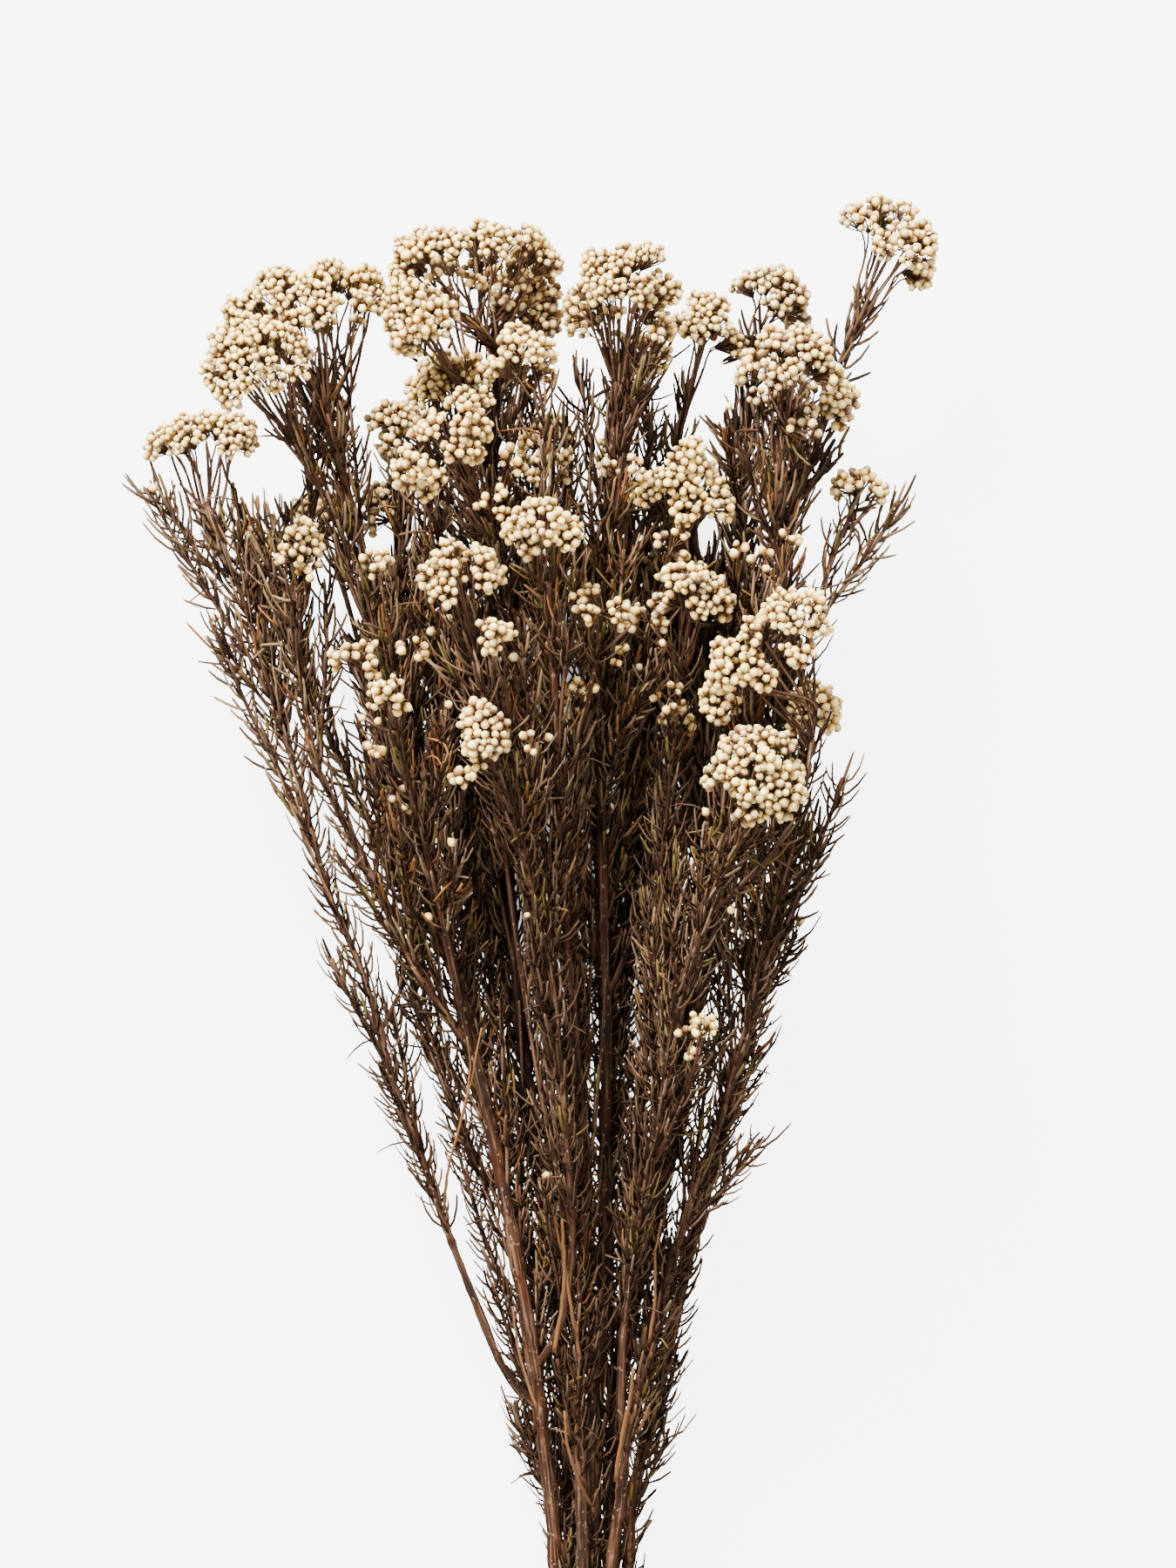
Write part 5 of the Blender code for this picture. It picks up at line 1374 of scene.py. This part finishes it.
def bud_look():
    look = Look("buds", 0.55, 0.25)
    coat, tone = look.mark("coat", "Vector"), look.mark("tone", "Fac")
    height = look.node("SeparateXYZ", Vector=coat).outputs["X"]
    cream = look.ramp(tone, [
        (0.0, (0.16, 0.095, 0.042)), (0.25, (0.37, 0.235, 0.105)), (0.5, (0.64, 0.41, 0.165)),
        (0.75, (0.94, 0.60, 0.16)), (1.0, (1.0, 0.76, 0.25)),
    ])
    # Painted shade: each bud is darker towards its foot, where it sits in the shade between buds; partly the
    # tan base of its bracts too
    foot = look.ramp(height, [
        (0.12, (0.24, 0.17, 0.09)), (0.5, (0.50, 0.42, 0.30)), (0.76, (0.84, 0.79, 0.68)), (0.94, 1),
    ])
    colour = look.mixed(1.0, cream, foot, "MULTIPLY")
    scales = look.noise(coat, 2.6, (1.6, 1, 1), 3)
    flecks = look.ramp(scales, [(0.36, (0.52, 0.46, 0.32)), (0.55, 1)])
    colour = look.mixed(0.9, colour, flecks, "MULTIPLY")
    # Painted highlight: each bud is paler towards its tip, partly the pale tips of its bracts too
    tip = look.ramp(height, [(0.60, 0), (0.95, 1)])
    colour = look.mixed(look.times(tip, 0.42), colour, (1.0, 0.86, 0.36))
    return look.finish(colour, scales, 0.5, 0.0005)


def floor_look():
    """A pale floor that glows, with a shadow under the bunch that fades towards its sides and ends."""
    look = Look("floor", 0.9, 0.0)
    look.put("Emission Color", (1, 1, 1))
    place = look.node("SeparateXYZ", Vector=look.node("TexCoord").outputs["Object"]).outputs
    aside = look.maths("ABSOLUTE", look.maths("SUBTRACT", place["X"], SHADOW_MIDDLE), 0.0)
    half = look.maths("ADD", look.times(place["Y"], SHADOW_WIDENING), SHADOW_HALF)
    across = look.ramp(look.maths("DIVIDE", aside, half), [(0.45, 1), (1.0, 0)], "EASE")
    up = look.times(place["Y"], 5)
    high = look.ramp(up, [(0.50, 1), (0.95, 0)], "EASE")
    low = look.ramp(look.maths("ADD", up, 0.5), [(0.05, 0), (0.70, 1)], "EASE")
    shadow = look.times(across, look.times(high, low))
    left = look.maths("SUBTRACT", 1.0, look.times(shadow, SHADOW_DEPTH))
    look.put("Emission Strength", look.times(left, FLOOR_GLOW))
    look.put("Base Color", look.mixed(shadow, (FLOOR_SHADE,) * 3, (0.02, 0.015, 0.01)))
    return look.material


def add_floor():
    mesh = bpy.data.meshes.new("floor")
    corners = [(x * FLOOR_HALF, y * FLOOR_HALF, 0) for x, y in ((-1, -1), (1, -1), (1, 1), (-1, 1))]
    mesh.from_pydata(corners, [], [(0, 1, 2, 3)])
    mesh.materials.append(floor_look())
    floor = bpy.data.objects.new("floor", mesh)
    bpy.context.scene.collection.objects.link(floor)
    # Its own glow makes the floor pale, and doesn't light the bunch from below
    lit = bpy.data.collections.new("lit by the floor")
    lit.objects.link(floor)
    floor.light_linking.receiver_collection = lit


def add_light(name, place, size, power):
    lamp = bpy.data.lights.new(name, "AREA")
    lamp.shape = "DISK"
    lamp.size = size
    lamp.energy = power
    made = bpy.data.objects.new(name, lamp)
    made.location = place
    made.rotation_euler = (Vector(LIT_PLACE) - Vector(place)).to_track_quat("-Z", "Y").to_euler()
    bpy.context.scene.collection.objects.link(made)


def add_camera():
    data = bpy.data.cameras.new("camera")
    data.sensor_width = 36
    data.lens = data.sensor_width * VIEW_DISTANCE / (PICTURE[1] * PIXEL)
    camera = bpy.data.objects.new("camera", data)
    camera.location = (-ASIDE[0], -ASIDE[1], VIEW_DISTANCE + MIDDLE_HEIGHT)
    bpy.context.scene.collection.objects.link(camera)
    bpy.context.scene.camera = camera


def add_world():
    world = bpy.data.worlds.new("studio")
    world.use_nodes = True
    back = world.node_tree.nodes["Background"]
    back.inputs["Color"].default_value = (1, 1, 1, 1)
    back.inputs["Strength"].default_value = WORLD_GLOW
    bpy.context.scene.world = world


def extra_shoots(limbs, lines, heads):
    """Leafy shoots that fill the bunch between its limbs, beyond those that the solids have."""
    shoots = []
    for name, row, (column, tip_row, height) in MORE_SHOOTS:
        limb = limbs[name]
        shoots.append(shoot_to(limb, point_at_row(limb, row), at_picture(column, tip_row, height * MM)))
    cover = Cover()
    for line in [*lines, *shoots]:
        cover.add(line)
    draw = random.Random(19)
    for row in range(*FILL_ROWS):
        rows, firsts, lasts = zip(*FILL_EDGES)
        first, last = float(np.interp(row, rows, firsts)), float(np.interp(row, rows, lasts))
        wanted = [layers for top, layers in FILL_LAYERS if row >= top][-1]
        column = first + draw.uniform(0, FILL_COLUMN)
        while column < last:
            tip_row = row + draw.uniform(-FILL_STRAY, FILL_STRAY)
            shoot = filling_shoot(column, tip_row, limbs, heads, cover, wanted, draw)
            if shoot:
                shoots.append(shoot)
                cover.add(shoot)
            column += FILL_COLUMN * draw.uniform(0.7, 1.3)
    return shoots


class Cover:
    """How many leafy lines pass each place, seen from above."""

    def __init__(self):
        self.cells = {}

    def cell(self, point):
        return round(point.x / COVER_CELL), round(point.y / COVER_CELL)

    def add(self, line):
        found = set()
        for point in line.points[line.leafy_from:]:
            x, y = self.cell(point)
            found |= {(x + i, y + j) for i in (-1, 0, 1) for j in (-1, 0, 1)}
        for cell in found:
            self.cells[cell] = self.cells.get(cell, 0) + 1

    def at(self, point):
        return self.cells.get(self.cell(point), 0)


def best_foot(tip, flow, length, limbs, draw):
    """The limb, and its point, from which a shoot of about that length reaches a tip with the least lean."""
    best, cost = None, 1e9
    foot = tip + flow * length
    for limb in limbs.values():
        joint = min(range(len(limb.points)), key=lambda i: (limb.points[i].xy - foot.xy).length_squared)
        joint = min(joint, len(limb.points) - 3)
        way = (tip - limb.points[joint]).xy
        if way.length < 0.5 * length:
            continue
        lean = abs(way.angle(-flow.xy))
        worth = lean + LENGTH_COST * abs(way.length - length) / MM + draw.uniform(0, LUCK)
        if worth < cost:
            best, cost = (limb, joint), worth
    return best


def filling_shoot(column, row, limbs, heads, cover, wanted, draw):
    """A shoot from the limb that suits best to that place in the picture, if too few lines pass there."""
    tip = at_picture(column, row, FILL_LEVEL)
    flow = (at_picture(*FILL_SOURCE, FILL_LEVEL) - tip).normalized()
    seen = [cover.at(tip + flow * reach * MM) for reach in FILL_PROBES]
    if sum(n < wanted for n in seen) < 2:
        return None
    length = draw.uniform(*FILL_LENGTHS)
    found = best_foot(tip, flow, length, limbs, draw)
    if not found:
        return None
    limb, joint = found
    tip.z = max(FILL_LOWEST, limb.points[joint].z + draw.uniform(*FILL_RISE) + 0.10 * length)
    shoot = shoot_behind_heads(limb, joint, column, row, tip.z, heads)
    if not shoot:
        tip.z = max(FILL_LOWEST, tip.z - FILL_LOWERED)
        shoot = shoot_behind_heads(limb, joint, column, row, tip.z, heads)
    if not shoot:
        return None
    for first_column, first_row, last_column, last_row in [*WHITE_GAPS, *KEPT_CLEAR]:
        low, high = at_picture(first_column, last_row, tip.z), at_picture(last_column, first_row, tip.z)
        if any(low.x < p.x < high.x and low.y < p.y < high.y for p in shoot.points):
            return None
    return shoot


def shoot_behind_heads(limb, joint, column, row, height, heads):
    """A shoot from a limb to a place, or nothing where its upper part would hide a flower head."""
    shoot = shoot_to(limb, joint, at_picture(column, row, height))
    upper = places_of(shoot.points[len(shoot.points) // 3:])
    return shoot if before_no_head(upper, heads).all() else None


def add_twigs(piece, stem, rng):
    """A stem's thin leafless twigs, some of them rusty."""
    for owner, radius, tone, corners in BARE_TWIGS:
        if owner != stem:
            continue
        points = smooth_route([at_picture(column, row, height * MM) for column, row, height in corners])
        points = places_of(points)
        points[1:-1] += rng.normal(size=(len(points) - 2, 3)) * 0.12 * MM
        radii = np.linspace(radius, 0.6 * radius, len(points)) * MM
        add_tube(piece, points, radii, 5, rng, tone, 0.08)


@dataclass
class Added:
    """A flower head that only the looks have, and whose line it shares: a head's, or one of its own."""

    number: int
    bearer: int
    head: Head
    line: Line
    tone: float

    def make(self, piece, rays, foliage, heads):
        flower(piece, rays, foliage, self.head, self.line, self.number, self.tone, heads)


def added_flowers(lines, limbs):
    draw = random.Random(5)
    borne = {line.head: line for line in lines if line.head is not None}
    found = []
    for number, (bearer, tone, *row) in enumerate(MORE_FLOWERS, FIRST_ADDED):
        head = place_head(*row)
        if bearer:
            line = borne[bearer - 1]
        else:
            length = draw.uniform(*SPRAY_LENGTHS) * MM
            tip = head.foot - head.along * min(10 * MM, 1.2 * head.size.x)
            flow = (at_picture(*FILL_SOURCE, tip.z) - tip).normalized()
            limb, joint = best_foot(tip, flow, length, limbs, draw)
            line = shoot_to(limb, joint, tip)
        found.append(Added(number, bearer, head, line, tone))
    return found


def dress_stem(stem, lines, shades, added, heads, looks, rng):
    """One stem's pieces: its bark, leaves and rays, and the buds of each of its flower heads."""
    bark, leaves, cream = looks
    wood, foliage, rays, small = Piece(), Piece(), Piece(), Piece()
    add_twigs(wood, stem, rng)
    for line, filler in lines:
        usual = BRANCH_SHADE if line.parent else LIMB_SHADE, SHOOT_SLIM if filler else BARK_SLIM
        shade, slim = shades.get(id(line), usual)
        points, radii = places_of(line.points), np.array(line.radii) * slim
        sides = 10 if line.radii[0] > THICK else 4 if filler else 5
        kept = sorted({*range(0, len(points), 2 if filler else 1), len(points) - 1})
        swell = 1 + 0.10 * rng.normal(size=len(kept)) * (sides > 5)
        add_tube(wood, points[kept], radii[kept] * swell, sides, rng, shade, 0.06)
        profile = PLAIN_LEAF if filler else FINE_LEAF
        dress_line(foliage, points, radii, line.leafy_from, heads, rng, LEAF_GAP, profile)
        if line.head is None:
            continue
        number = line.head + 1
        piece = Piece()
        flower(piece, rays, foliage, heads[line.head], line, number, HEAD_TONES.get(number, 0.0), heads)
        for more in added:
            if more.bearer == number:
                more.make(piece, rays, foliage, heads)
        piece.finish(f"buds_{number:02d}", cream, "bud", f"flower_head_{number:02d}")
    for more in added:
        if not more.bearer and more.line.stem == stem:
            more.make(small, rays, foliage, heads)
    if small.count:
        small.finish("small_buds_" + stem, cream, "bud", "stem_" + stem)
    for name, piece, look in (("bark_", wood, bark), ("leaves_", foliage, leaves), ("rays_", rays, bark)):
        piece.finish(name + stem, look, "leafy_stem", "stem_" + stem)


def build():
    heads = place_heads()
    for number in BEHIND_LEAVES:
        heads[number - 1].veiled = True
    limbs = grow_limbs()
    lines = [*limbs.values(), *grow_branches(limbs, heads), *grow_shoots(limbs)]
    bend_clear(lines, heads)
    stubby = next(line for line in lines if line.head == STUB_HEAD - 1)
    del stubby.points[-STUB_POINTS:], stubby.radii[-STUB_POINTS:]
    for name, row in LEAFY_BELOW.items():
        limbs[name].leafy_from = point_at_row(limbs[name], row)
    note_stems_in_sight(limbs)
    filling = extra_shoots(limbs, lines, heads)
    added = added_flowers(lines, limbs)
    heads += [more.head for more in added if more.tone > SEEN_TONE]
    filling += [more.line for more in added if not more.bearer]
    shades = {id(limbs[name]): values for name, values in LIMB_SHADES.items()}
    looks = bark_look(), leaf_look(), bud_look()
    rng = np.random.default_rng(21)
    for stem in dict.fromkeys(line.stem for line in lines):
        own = [(line, False) for line in lines if line.stem == stem]
        own += [(line, True) for line in filling if line.stem == stem]
        dress_stem(stem, own, shades, added, heads, looks, rng)


add_camera()
build()
add_floor()
add_world()
for light_name, light_values in LIGHTS.items():
    add_light(light_name, *light_values)
